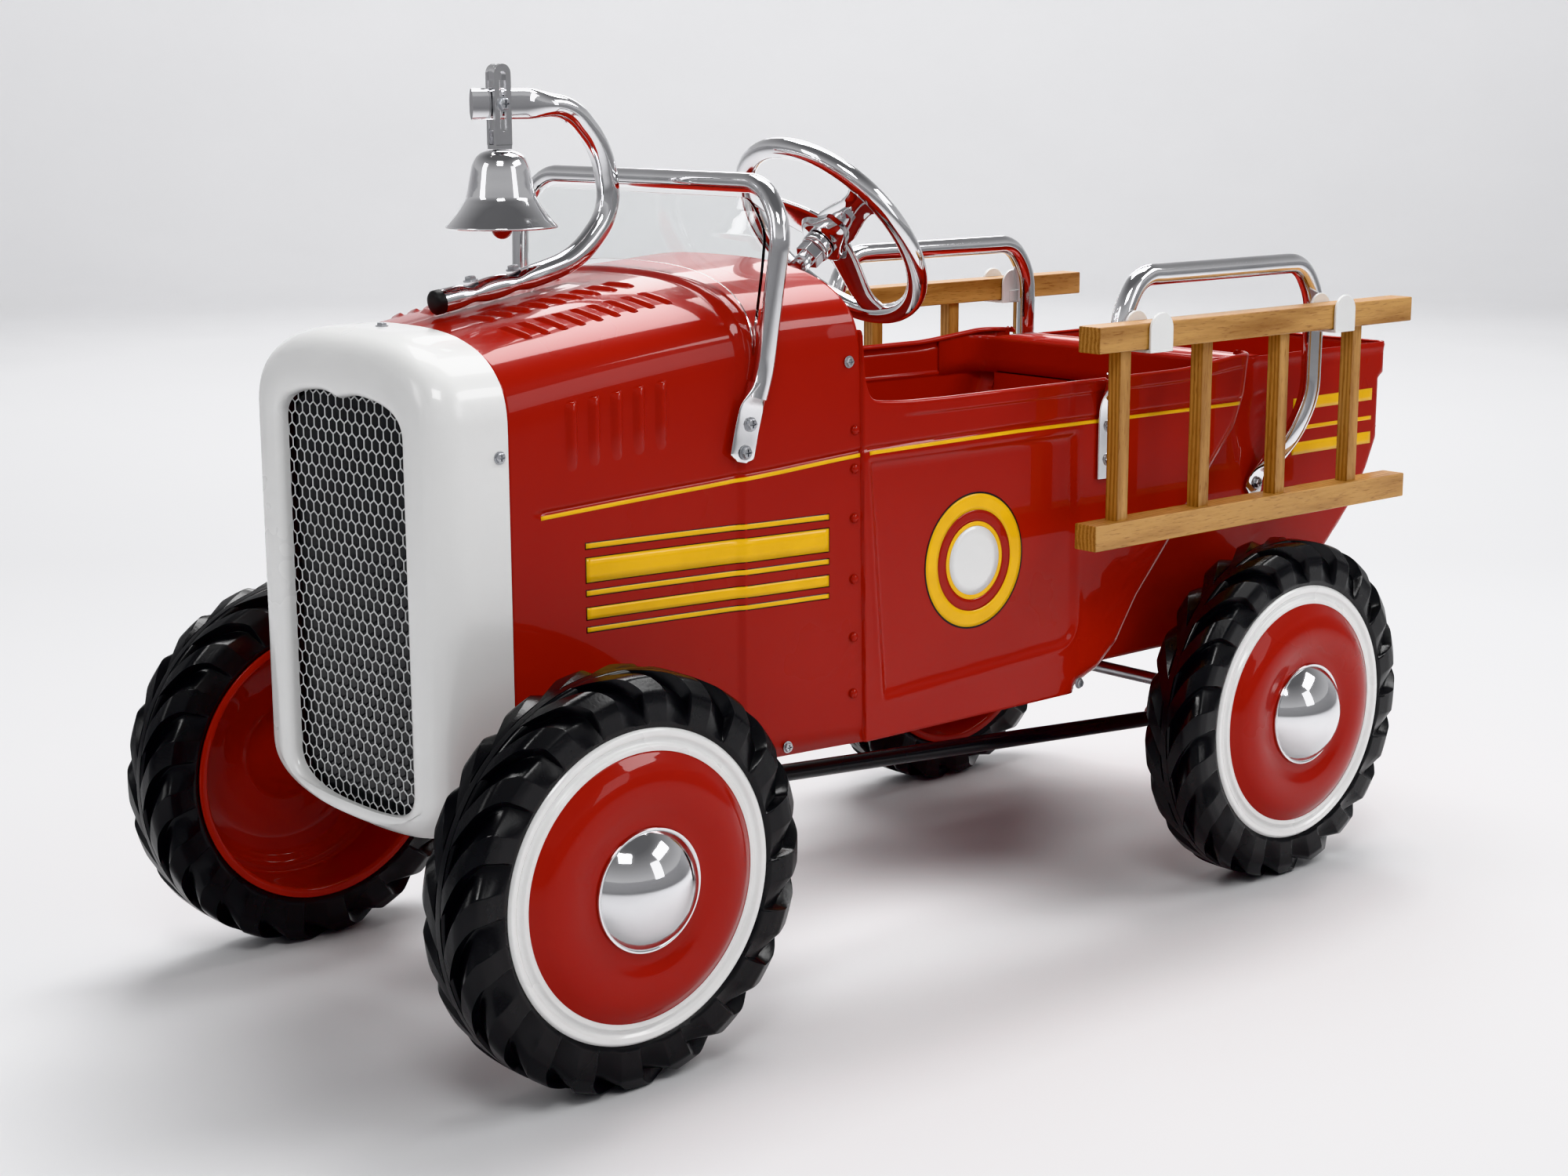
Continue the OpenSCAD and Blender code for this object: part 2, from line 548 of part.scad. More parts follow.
module grab_rail(s) color("silver") car() side(s) {
    path = rounded([[rail_x - 3, 593, 470], [rail_x, 593, 500], [rail_x, 594, 540], [rail_x, 616, 573],
        [rail_x, 846, 573], [rail_x, 869, 540], [rail_x, 868, 445], [rail_x - 6, 853, 410], [161, 843, 386]], 24);
    tube(path, rail_r, [0.3, 1, 0.2], 12);
    // Flattened foot on the side panel and flattened end on the bed side
    translate([side_x, 581, 392]) cube([4, 24, 92]);
    translate([side_x + 0.5, 585, 456]) cube([11, 16, 24]);
    translate([bed_x, 822, 346]) cube([4, 26, 42]);
    translate([bed_x + 1, 834, 374]) cube([12, 14, 14]);
}

rail_xi = 203;                               // ladder rail, inner and outer faces
rail_xo = 228;
ladder_y = 522;
ladder_z = [341, 513];
rail_h = 23;

module ladder_cradles() color("white") car() for (s = [-1, 1], y = [599, 861]) side(s)
    translate([0, y - 15, 0]) {
        translate([rail_xi - 3.5, 0, 509.5]) cube([rail_xo - rail_xi + 7, 30, 3]);
        for (x = [rail_xi - 3.5, rail_xo + 0.5]) {
            translate([x, 0, 512.5]) cube([3, 30, 20]);
            translate([x, 15, 529.5]) rotate([0, 90, 0]) cylinder(r = 15, h = 3);
        }
        translate([rail_x + 9.6, 9, 510]) cube([rail_xi - rail_x - 13, 12, 14]);
    }

module ladder(s) color("peru") car() side(s) {
    for (z = ladder_z) translate([rail_xi, ladder_y, z]) cube([rail_xo - rail_xi, ladder_l, rail_h]);
    for (k = [0:3]) translate([rail_xi + 5.5, ladder_y + 33 + 110 * k, ladder_z[0] + rail_h])
        cube([14, 14, ladder_z[1] - ladder_z[0] - rail_h]);
}

// ---------- Fasteners ----------

// A screw head standing on a surface whose normal is +X
module head_x(x, y, z, r, h) translate([x, y, z]) rotate([0, 90, 0]) cylinder(r = r, h = h);

module body_bolts() color("silver") car() {
    for (s = [-1, 1]) side(s) {
        head_x(half_w(226) + 0.2, 226, 207, 5, 3);
        head_x(side_x, 565, 208, 5, 3);
        head_x(half_w(286) + 0.2, 286, 520, 5, 3);
        head_x(shell_w, -33, 470, 5, 3);
        head_x(160.2, 183.5, 455.1, 6, 4);
        head_x(160.4, 188.7, 477.2, 6, 4);
        head_x(bed_x + 4, 835, 360, 6, 4);
    }
    translate([0, -47, shell_z1]) cylinder(r = 5, h = 3);
    for (y = [36, 77]) translate([0, y, 590.3 + 0.158 * (y - 36)]) cylinder(r = 6, h = 5);
}

module rivets() color("firebrick") car() for (s = [-1, 1]) side(s) {
    for (z = [243, 291, 340, 391, 432, 464]) head_x(168.9, 293, z, 4, 3);
    for (z = [410, 440]) head_x(side_x + 4, 593, z, 4, 2);
}

radiator_shell();
grille_mesh();
front_body();
side_panel(1);  // side_panel_left
side_panel(-1);  // side_panel_right
bed_side(1);  // bed_side_left
bed_side(-1);  // bed_side_right
tail_panel();
bed_floor();
seat_back();
seat_pan();
dash_panel();
front_axle_bracket();
front_axle_beam();
kingpins();
knuckle(1);  // knuckle_left
knuckle(-1);  // knuckle_right
tie_rod();
steering_column();
column_bush();
steering_bracket();
steering_wheel();
steering_nut();
pedal_pivot_rod();
pedal_lever(0);  // pedal_lever_left
pedal_lever(1);  // pedal_lever_right
pedal_pad(0);  // pedal_pad_left
pedal_pad(1);  // pedal_pad_right
push_rod(0);  // push_rod_left
push_rod(1);  // push_rod_right
rear_axle();
axle_hangers();
axle_bushes();
tyre(1, 0);  // tyre_front_left
tyre(-1, 0);  // tyre_front_right
tyre(1, wheelbase);  // tyre_rear_left
tyre(-1, wheelbase);  // tyre_rear_right
wheel(1, 0);  // wheel_front_left
wheel(-1, 0);  // wheel_front_right
wheel(1, wheelbase);  // wheel_rear_left
wheel(-1, wheelbase);  // wheel_rear_right
hubcap(1, 0);  // hubcap_front_left
hubcap(-1, 0);  // hubcap_front_right
hubcap(1, wheelbase);  // hubcap_rear_left
hubcap(-1, wheelbase);  // hubcap_rear_right
windshield_frame();
windshield_pane();
bell_arm();
arm_plug();
bell_strap();
bell();
clapper();
grab_rail(1);  // grab_rail_left
grab_rail(-1);  // grab_rail_right
ladder_cradles();
ladder(1);  // ladder_left
ladder(-1);  // ladder_right
body_bolts();
rivets();
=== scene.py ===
"""Pedal fire engine: painted sheet steel body, lugged tyres, plated fittings and oak ladders.

Lengths in this script are millimetres. x points to the car's left, y counts back from the front axle and z up
from the floor. placed() turns such points into the frame's metres. Each sub-part is one short function.
"""
import math

import bmesh
import bpy
import numpy as np
from mathutils import Matrix, Vector


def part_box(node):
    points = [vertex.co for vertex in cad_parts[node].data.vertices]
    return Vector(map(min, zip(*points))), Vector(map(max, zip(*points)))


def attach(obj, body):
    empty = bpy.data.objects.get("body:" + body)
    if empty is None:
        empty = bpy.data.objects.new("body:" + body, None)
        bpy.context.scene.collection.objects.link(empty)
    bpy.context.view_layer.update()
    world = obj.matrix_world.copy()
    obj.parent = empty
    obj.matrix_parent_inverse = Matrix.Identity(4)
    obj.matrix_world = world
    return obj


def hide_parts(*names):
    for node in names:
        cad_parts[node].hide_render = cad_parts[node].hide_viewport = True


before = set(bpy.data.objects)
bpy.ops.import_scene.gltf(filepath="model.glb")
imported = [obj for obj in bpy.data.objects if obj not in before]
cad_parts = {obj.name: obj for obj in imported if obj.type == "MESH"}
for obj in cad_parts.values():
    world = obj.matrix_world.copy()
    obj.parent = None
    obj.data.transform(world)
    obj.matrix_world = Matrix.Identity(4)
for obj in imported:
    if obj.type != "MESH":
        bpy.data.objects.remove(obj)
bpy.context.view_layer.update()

MM = 0.001


def middle(node):
    """Middle of a CAD node's box, in millimetres."""
    low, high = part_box(node)
    return (np.array(low) + np.array(high)) / 2 / MM


# ---------- Driving sizes ----------
FRONT_AXLE = middle("hubcap_front_left")
FRONT_Y = FRONT_AXLE[1]
AXLE_Z = FRONT_AXLE[2]
WHEELBASE = middle("hubcap_rear_left")[1] - FRONT_Y
WHEEL_X = middle("tyre_front_left")[0]
TYRE_HALF = 31.5
LUGS = 20
SHEET = 2.0
# Heights of the body's lower edge and of the side panel's rim.
SILL_Z = 200.0
RIM_Z = 484.0
SIDE_X = 173.0
# The side panel's front edge lies this far ahead of the cowl's back edge, and this far under it.
LAP = 8.0
LAP_DROP = 5.4
BED_X = 150.0
HOOD_Y = (-24.7, 296.0)
COWL_Y = 179.0
# The crown is a superellipse of this height and this power.
SHOULDER = 71.0
SQUARE = 2.7
COLUMN_TOP = np.array([0.0, 418.0, 611.0])
COLUMN_LEAN = math.radians(37.2)
CORNERS = {
    "front_left": (1, 0.0, "front_left_wheel"),
    "front_right": (-1, 0.0, "front_right_wheel"),
    "rear_left": (1, WHEELBASE, "rear_axle"),
    "rear_right": (-1, WHEELBASE, "rear_right_wheel"),
}
SIDES = {"left": 1, "right": -1}
MIRROR = np.array([-1, 1, 1])


# ---------- Mesh helpers ----------
def placed(points):
    """Points counted from the front axle, as metres in the frame."""
    return (np.asarray(points, float) + [0, FRONT_Y, 0]) * MM


def smooth(t):
    """Smooth step: 0 below 0, 1 above 1, and 3t^2 - 2t^3 between."""
    t = np.clip(t, 0, 1)
    return t * t * (3 - 2 * t)


def bump(t):
    """Bell curve exp(-t^2)."""
    return np.exp(-t * t)


def grid(points, wrap_rows=False, wrap_cols=False):
    """Quads over a (rows, cols, 3) array of points; a wrapped way closes on itself."""
    rows, cols = points.shape[:2]
    i = np.arange(rows if wrap_rows else rows - 1)[:, None]
    j = np.arange(cols if wrap_cols else cols - 1)[None, :]
    k, m = (i + 1) % rows, (j + 1) % cols
    quads = np.stack([i * cols + j, i * cols + m, k * cols + m, k * cols + j], -1)
    return points.reshape(-1, 3), quads.reshape(-1, 4)


def flipped(part):
    """The same part with its faces turned round."""
    points, faces = part
    if isinstance(faces, list):
        return points, [f[::-1] for f in faces]
    return points, faces[:, ::-1]


def volume(part):
    """Signed volume: a sixth of the triple products of each face's fan of triangles, about the middle."""
    points, faces = part
    points = points - points.mean(0)
    if isinstance(faces, list):
        fans = np.array([(f[0], f[k], f[k + 1]) for f in faces for k in range(1, len(f) - 1)])
    else:
        fans = np.concatenate([faces[:, [0, 1, 2]], faces[:, [0, 2, 3]]])
    a, b, c = (points[fans[:, k]] for k in range(3))
    return float((a * np.cross(b, c)).sum()) / 6


def outward(part):
    """A closed part with its faces pointing out."""
    return part if volume(part) > 0 else flipped(part)


def facing(part, inside):
    """An open sheet with its faces pointing away from a point inside."""
    points, faces = part
    a, b, d = (points[faces[:, k]] for k in (0, 1, 3))
    away = (np.cross(b - a, d - a) * (a - np.array(inside))).sum()
    return part if away > 0 else flipped(part)


def mirrored(part):
    """The part on the other side of the car."""
    points, faces = part
    return flipped((points * [-1, 1, 1], faces))


def on_side(part, s):
    """The part as it is for s = 1, mirrored for s = -1."""
    return part if s > 0 else mirrored(part)


def both_sides(parts):
    """The parts and their mirror images."""
    return [on_side(part, s) for part in parts for s in (1, -1)]


def moved(part, shift):
    """The part shifted along a vector."""
    return part[0] + np.array(shift, float), part[1]


def rounded(points, r, steps=8):
    """Line of points whose inner corners become short parabolic curves that start r from the corner."""
    p = np.array(points, float)
    t = np.linspace(0, 1, steps + 1)[:, None]
    out = [p[:1]]
    for a, b, c in zip(p[:-2], p[1:-1], p[2:]):
        la, lc = np.linalg.norm(a - b), np.linalg.norm(c - b)
        q = min(r, 0.45 * la, 0.45 * lc)
        start, end = b + q * (a - b) / la, b + q * (c - b) / lc
        out.append((1 - t) ** 2 * start + 2 * t * (1 - t) * b + t * t * end)
    return np.concatenate(out + [p[-1:]])


def curved(points, steps):
    """Smooth line through points: a Catmull-Rom cubic between each two."""
    p = np.array(points, float)
    p = np.concatenate([2 * p[:1] - p[1:2], p, 2 * p[-1:] - p[-2:-1]])
    t = (np.arange(steps) / steps)[None, :, None]
    a, b, c, d = (p[k:len(p) - 3 + k, None] for k in range(4))
    line = b + 0.5 * t * (c - a + t * (2 * a - 5 * b + 4 * c - d + t * (3 * (b - c) + d - a)))
    return np.concatenate([line.reshape(-1, p.shape[1]), p[-2:-1]])


def resampled(line, count):
    """The line as evenly spaced points."""
    line = np.array(line, float)
    far = np.concatenate([[0], np.cumsum(np.linalg.norm(np.diff(line, axis=0), axis=1))])
    at = np.linspace(0, far[-1], count)
    return np.stack([np.interp(at, far, line[:, k]) for k in range(line.shape[1])], -1)


def unit(v):
    """Vectors at length 1."""
    return v / np.linalg.norm(v, axis=-1, keepdims=True)


def full_turn(count):
    """Evenly spaced angles once round, in radians."""
    return np.linspace(0, 2 * np.pi, count, endpoint=False)


def runs(*spans):
    """Numbers in evenly spaced runs, each given as (first, last, count)."""
    return np.concatenate([np.linspace(*span) for span in spans])


def cells(*fields):
    """Points of a grid from its x, y and z, each of which may be a row, a column or the whole grid."""
    return np.stack(np.broadcast_arrays(*fields), -1)


def spun(along, radius, turn, axis):
    """Points at an angle round an axis, from their place along it and their distance from it."""
    u, v = radius * np.cos(turn), radius * np.sin(turn)
    return cells(along, u, v) if axis == "x" else cells(u, v, along)


def swept(path, across, half_a, half_b=None, sides=24, power=2.0):
    """Bar along a path. Its section is a superellipse of half sizes a towards `across` and b square to it."""
    path = np.array(path, float)
    half_a = np.broadcast_to(half_a, len(path)).astype(float)
    half_b = half_a if half_b is None else np.broadcast_to(half_b, len(path)).astype(float)
    along = unit(np.gradient(path, axis=0))
    across = np.array(across, float)
    v = unit(across - (along @ across)[:, None] * along)
    w = np.cross(along, v)
    turn = full_turn(sides) + np.pi / sides
    c, s = (np.sign(q) * np.abs(q) ** (2 / power) for q in (np.cos(turn), np.sin(turn)))
    to_a = half_a[:, None, None] * c[None, :, None] * v[:, None]
    to_b = half_b[:, None, None] * s[None, :, None] * w[:, None]
    first, last = (np.repeat(path[k][None, None], sides, 1) for k in (0, -1))
    return outward(grid(np.concatenate([first, path[:, None] + to_a + to_b, last]), wrap_cols=True))


def turned(profile, centre, axis="x", count=96, closed=True):
    """Profile of (along, radius) pairs spun round an axis through centre; closed joins its two ends."""
    along, radius = np.array(profile, float).T[:, :, None]
    points = spun(along, radius, full_turn(count)[None], axis) + np.array(centre, float)
    return outward(grid(points, wrap_rows=closed, wrap_cols=True))


def plate(outline, low, high, axis="x"):
    """Flat outline of the two other coordinates, carried straight from low to high along an axis."""
    k = "xyz".index(axis)
    outline = np.array(outline, float)
    n = len(outline)
    points = np.concatenate([np.insert(outline, k, level, axis=1) for level in (low, high)])
    sides = [[i, (i + 1) % n, n + (i + 1) % n, n + i] for i in range(n)]
    return outward((points, sides + [list(range(n))[::-1], list(range(n, 2 * n))]))


def block(low, high):
    """Rectangular block between two corners."""
    (x0, y0, z0), (x1, y1, z1) = low, high
    return plate([[y0, z0], [y1, z0], [y1, z1], [y0, z1]], x0, x1)


def framed(outer, inner, low, high):
    """Upright plate with a hole: outer and inner outlines in y and z, of equal length, from low x to high x."""
    around = ((outer, low), (outer, high), (inner, high), (inner, low))
    return outward(grid(np.stack([np.insert(line, 0, x, axis=1) for line, x in around]), True, True))


def arc(centre, r, start, end, steps):
    """Points on a circle from one angle to another, in degrees."""
    a = np.radians(np.linspace(start, end, steps + 1))
    return np.array(centre, float) + r * np.stack([np.cos(a), np.sin(a)], -1)


def stadium(y, z0, z1, r):
    """Upright slot outline in y and z with round ends of radius r."""
    return np.concatenate([arc((y, z1 - r), r, 0, 180, 24), arc((y, z0 + r), r, 180, 360, 24)])


def on_column(part):
    """Local z runs up the steering column from the steering wheel's middle."""
    points, faces = part
    lean = COLUMN_LEAN - math.pi / 2
    c, s = math.cos(lean), math.sin(lean)
    return points @ np.array([[1, 0, 0], [0, c, s], [0, -s, c]]) + COLUMN_TOP, faces


def mesh_object(name, points, faces, finish):
    """Smooth-shaded object at the origin, from points in metres."""
    mesh = bpy.data.meshes.new(name)
    mesh.from_pydata(points.tolist(), [], faces)
    mesh.polygons.foreach_set("use_smooth", np.ones(len(mesh.polygons), bool))
    mesh.materials.append(finish)
    obj = bpy.data.objects.new(name, mesh)
    bpy.context.scene.collection.objects.link(obj)
    return obj


def weld(mesh):
    """Joins points that lie within a hundredth of a millimetre."""
    work = bmesh.new()
    work.from_mesh(mesh)
    bmesh.ops.remove_doubles(work, verts=work.verts, dist=0.01 * MM)
    work.to_mesh(mesh)
    work.free()


def piece(name, parts, finish, nodes=(), body="chassis", side=1, sharp=35, bevel=0.0, wall=0.0):
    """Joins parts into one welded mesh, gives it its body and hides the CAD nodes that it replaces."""
    points, faces, start = [], [], 0
    for part in parts:
        part_points, part_faces = on_side(part, side)
        points.append(part_points)
        rows = part_faces if isinstance(part_faces, list) else part_faces.tolist()
        faces += [[start + i for i in row] for row in rows]
        start += len(part_points)
    obj = mesh_object(name, placed(np.concatenate(points)), faces, finish)
    weld(obj.data)
    obj.data.set_sharp_from_angle(angle=math.radians(sharp))
    if wall:
        skin = obj.modifiers.new("Wall", "SOLIDIFY")
        skin.thickness = wall * MM
        skin.offset = -1
    if bevel:
        edge = obj.modifiers.new("Edges", "BEVEL")
        edge.width = bevel * MM
        edge.segments = 2
        edge.limit_method = "ANGLE"
        edge.angle_limit = math.radians(32)
        edge.harden_normals = True
    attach(obj, body)
    if nodes:
        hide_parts(*nodes)


# ---------- Finishes ----------
FLOAT = "NodeSocketFloat"
COLOUR = "NodeSocketColor"
VECTOR = "NodeSocketVector"
PATTERN = [("Colour", COLOUR), ("Roughness", FLOAT), ("Height", FLOAT)]


def feed(tree, socket, value):
    """Links another node's output to an input socket, or sets the input to a number, colour or vector."""
    if hasattr(value, "is_linked"):
        tree.links.new(value, socket)
    else:
        socket.default_value = value


def add_node(tree, kind, settings=None, **inputs):
    """Adds a shader node and feeds its inputs. An underscore in an input's name stands for a space."""
    node = tree.nodes.new("ShaderNode" + kind)
    for label, value in (settings or {}).items():
        setattr(node, label, value)
    for label, value in inputs.items():
        feed(tree, node.inputs[label.replace("_", " ")], value)
    return node


def shader_group(name, inputs, outputs):
    """Empty shader group, with the sockets that bring its inputs and those that take its outputs."""
    group = bpy.data.node_groups.new(name, "ShaderNodeTree")
    for label, kind, default in inputs:
        socket = group.interface.new_socket(name=label, in_out="INPUT", socket_type=kind)
        if default is not None:
            socket.default_value = default
    for label, kind in outputs:
        group.interface.new_socket(name=label, in_out="OUTPUT", socket_type=kind)
    return group, group.nodes.new("NodeGroupInput").outputs, group.nodes.new("NodeGroupOutput").inputs


def noise(tree, place, scale, detail, rough=0.5):
    """Noise texture at a place."""
    node = add_node(tree, "TexNoise", Vector=place, Scale=scale, Detail=detail, Roughness=rough)
    return node.outputs["Fac"]


def spread(tree, value, low, high, out_low=0.0, out_high=1.0):
    """Value from low..high carried to 0..1, or to between two other values."""
    node = add_node(tree, "MapRange", Value=value, From_Min=low, From_Max=high, To_Min=out_low,
                    To_Max=out_high)
    return node.outputs["Result"]


def blend(tree, amount, a, b):
    """Mix of two colours by an amount."""
    node = add_node(tree, "Mix", {"data_type": "RGBA"}, Factor=amount, A=a, B=b)
    return [socket for socket in node.outputs if socket.type == "RGBA"][0]


def math_node(tree, what, a, b):
    """Sum, difference or product of two values."""
    node = add_node(tree, "Math", {"operation": what})
    for value, socket in zip((a, b), node.inputs):
        feed(tree, socket, value)
    return node.outputs[0]


def object_place(tree):
    """Object coordinates, in metres."""
    return add_node(tree, "TexCoord").outputs["Object"]


def surface_wear_group():
    """Slow clouds and fine specks that shift a finish's colour and roughness, and a fine ripple height."""
    grey = (0.5, 0.5, 0.5, 1)
    group, inside, out = shader_group(
        "surface_wear",
        [("Colour", COLOUR, grey), ("Faded", COLOUR, grey), ("Smooth", FLOAT, 0.1), ("Dull", FLOAT, 0.2),
         ("Cloud Scale", FLOAT, 9.0), ("Ripple Scale", FLOAT, 160.0)],
        PATTERN)
    place = object_place(group)
    cloud = noise(group, place, inside["Cloud Scale"], 4.0)
    patch = spread(group, cloud, 0.35, 0.7)
    feed(group, out["Colour"], blend(group, patch, inside["Colour"], inside["Faded"]))
    feed(group, out["Roughness"], spread(group, cloud, 0.3, 0.75, inside["Smooth"], inside["Dull"]))
    feed(group, out["Height"], noise(group, place, inside["Ripple Scale"], 2.0))
    return group


def wood_grain_group():
    """Long fibres: noise squeezed across the grain, growth bands, and short dark pores."""
    group, inside, out = shader_group(
        "wood_grain",
        [("Place", VECTOR, None), ("Pale", COLOUR, (0.6, 0.3, 0.1, 1)),
         ("Dark", COLOUR, (0.3, 0.1, 0.03, 1))],
        PATTERN)

    def share(value, part):
        """A part of a value."""
        return math_node(group, "MULTIPLY", value, part)

    place = inside["Place"]
    bend = noise(group, place, 0.9, 2.0)
    band = add_node(group, "TexWave", {"wave_type": "BANDS", "bands_direction": "X"}, Vector=place, Scale=1.3,
                    Distortion=5.5, Detail=3.0, Detail_Scale=0.6)
    fibre = noise(group, place, 7.0, 5.0, 0.65)
    pores = spread(group, noise(group, place, 16.0, 2.0, 0.4), 0.58, 0.72)
    mix = math_node(group, "ADD", share(band.outputs["Fac"], 0.45), share(fibre, 0.45))
    mix = math_node(group, "ADD", mix, share(bend, 0.25))
    dark = math_node(group, "ADD", spread(group, mix, 0.35, 0.95), share(pores, 0.5))
    feed(group, out["Colour"], blend(group, dark, inside["Pale"], inside["Dark"]))
    feed(group, out["Roughness"], math_node(group, "ADD", share(fibre, 0.25), 0.32))
    feed(group, out["Height"], math_node(group, "SUBTRACT", share(fibre, 0.5), pores))
    return group


def edge_rub_group():
    """Rubbed edges: where the surface's pointiness is high the mask rises, broken up by noise."""
    group, inside, out = shader_group("edge_rub", [("Amount", FLOAT, 0.5)], [("Mask", FLOAT)])
    edge = spread(group, add_node(group, "NewGeometry").outputs["Pointiness"], 0.53, 0.62)
    broken = spread(group, noise(group, object_place(group), 60.0, 4.0), 0.4, 0.65)
    mask = math_node(group, "MULTIPLY", edge, broken)
    feed(group, out["Mask"], math_node(group, "MULTIPLY", mask, inside["Amount"]))
    return group


WEAR = surface_wear_group()
GRAIN = wood_grain_group()
RUB = edge_rub_group()


def new_finish(name, **sockets):
    """Material with constants on its shader's sockets, with its node tree and its shader."""
    material = bpy.data.materials.new(name)
    material.use_nodes = True
    tree = material.node_tree
    shader = tree.nodes["Principled BSDF"]
    for label, value in sockets.items():
        shader.inputs[label.replace("_", " ")].default_value = value
    return material, tree, shader


def drive(tree, shader, colour, pattern, strength, distance):
    """Links a colour, and a pattern's roughness and height as a bump, to a shader."""
    bump_node = add_node(tree, "Bump", Strength=strength, Distance=distance, Height=pattern["Height"])
    feed(tree, shader.inputs["Base Color"], colour)
    feed(tree, shader.inputs["Roughness"], pattern["Roughness"])
    feed(tree, shader.inputs["Normal"], bump_node.outputs["Normal"])


def plain_finish(name, colour, faded, smooth_at, dull_at, cloud, ripple, lift, rub=0.0, **sockets):
    """Finish whose colour and roughness drift in clouds, with a fine ripple and perhaps rubbed edges."""
    material, tree, shader = new_finish(name, **sockets)
    wear = add_node(tree, "Group", {"node_tree": WEAR}, Colour=(*colour, 1), Faded=(*faded, 1),
                    Smooth=smooth_at, Dull=dull_at, Cloud_Scale=cloud, Ripple_Scale=ripple).outputs
    base = wear["Colour"]
    if rub:
        mask = add_node(tree, "Group", {"node_tree": RUB}, Amount=rub).outputs["Mask"]
        rubbed = [min(1.0, c * 1.5 + 0.02) for c in colour]
        base = blend(tree, mask, base, (*rubbed, 1))
    drive(tree, shader, base, wear, lift, 0.001)
    return material


def oak_finish(name, squeeze):
    """Oak: the grain runs along the axis on which the pattern is squeezed least."""
    material, tree, shader = new_finish(name, Coat_Weight=0.2, Coat_Roughness=0.25)
    place = add_node(tree, "Mapping", Vector=object_place(tree), Scale=squeeze).outputs["Vector"]
    grain = add_node(tree, "Group", {"node_tree": GRAIN}, Place=place, Pale=(0.56, 0.31, 0.105, 1),
                     Dark=(0.26, 0.105, 0.026, 1)).outputs
    drive(tree, shader, grain["Colour"], grain, 0.25, 0.0006)
    return material


def clear_finish():
    """Clear acrylic: transmission with faint smears in its roughness."""
    material, tree, shader = new_finish("clear_acrylic", Base_Color=(0.97, 0.985, 0.98, 1),
                                        Transmission_Weight=1.0, IOR=1.49)
    smear = spread(tree, noise(tree, object_place(tree), 14.0, 3.0), 0.3, 1.6)
    feed(tree, shader.inputs["Roughness"], math_node(tree, "MULTIPLY", smear, 0.06))
    return material


RED = plain_finish("red_enamel", (0.37, 0.0165, 0.009), (0.335, 0.014, 0.008), 0.26, 0.33, 5.0, 220.0, 0.02,
                   Coat_Weight=0.62, Coat_Roughness=0.035, Specular_IOR_Level=0.1)
WHITE = plain_finish("white_enamel", (0.84, 0.84, 0.83), (0.79, 0.79, 0.78), 0.25, 0.33, 6.0, 220.0, 0.02,
                     Coat_Weight=0.6, Coat_Roughness=0.05)
GOLD = plain_finish("gold_paint", (0.94, 0.53, 0.02), (0.84, 0.46, 0.015), 0.3, 0.4, 30.0, 400.0, 0.03,
                    Coat_Weight=0.4, Coat_Roughness=0.08, Specular_IOR_Level=0.2)
INK = plain_finish("black_paint_line", (0.012, 0.012, 0.013), (0.02, 0.02, 0.02), 0.3, 0.4, 30.0, 400.0, 0.03,
                   Coat_Weight=0.4, Coat_Roughness=0.08, Specular_IOR_Level=0.2)
CHROME = plain_finish("chrome_plate", (0.80, 0.80, 0.81), (0.72, 0.72, 0.73), 0.04, 0.10, 14.0, 500.0, 0.008,
                      Metallic=1.0)
ZINC = plain_finish("zinc_plate", (0.55, 0.56, 0.58), (0.42, 0.43, 0.45), 0.25, 0.42, 25.0, 600.0, 0.05,
                    rub=0.5, Metallic=1.0)
BRONZE = plain_finish("bronze_bush", (0.55, 0.36, 0.16), (0.42, 0.26, 0.11), 0.3, 0.5, 40.0, 700.0, 0.06,
                      Metallic=1.0)
MESH_WHITE = plain_finish("mesh_white", (0.78, 0.79, 0.79), (0.66, 0.67, 0.67), 0.3, 0.45, 30.0, 500.0, 0.03,
                          Coat_Weight=0.3)
BLACK = plain_finish("black_enamel", (0.010, 0.010, 0.011), (0.017, 0.017, 0.017), 0.22, 0.36, 12.0, 300.0,
                     0.05, rub=0.3, Coat_Weight=0.3, Coat_Roughness=0.12, Specular_IOR_Level=0.3)
RUBBER = plain_finish("tyre_rubber", (0.0085, 0.0085, 0.009), (0.014, 0.014, 0.0145), 0.22, 0.33, 18.0, 420.0,
                      0.1, rub=0.15, Specular_IOR_Level=0.5)
PAD_RUBBER = plain_finish("pedal_rubber", (0.015, 0.015, 0.015), (0.028, 0.027, 0.026), 0.5, 0.68, 40.0,
                          800.0, 0.25)
NYLON = plain_finish("black_nylon", (0.015, 0.015, 0.015), (0.025, 0.025, 0.025), 0.42, 0.55, 50.0, 900.0,
                     0.12)
OAK_LONG = oak_finish("oak_along_car", (55, 5, 55))
OAK_TALL = oak_finish("oak_upright", (55, 55, 5))
CLEAR = clear_finish()


# ---------- Body skin formulas ----------
def cowl(y):
    """0 on the hood, 1 on the cowl, with a soft concave step between."""
    return smooth((y - COWL_Y) / 9)


def hood_half(y):
    """Half width of the hood at y: a quadratic, with a slight swell where the cowl starts."""
    return 134 + 0.075 * y + 0.00016 * y * y + 2 * cowl(y) * (1 - smooth((y - 195) / 80))


def hood_top(y):
    """Height of the crown's middle at y."""
    rise = 560.4 + 0.1665 * y - 0.00008 * y * y
    return (1 - cowl(y)) * rise + cowl(y) * (592 + 0.0566 * (y - 186))


def belt(y):
    """Height of the belt crease along the car."""
    return np.interp(y, [2, 150, 224, 308, 481, 783], [420, 430, 436, 444, 445.6, 443.6])


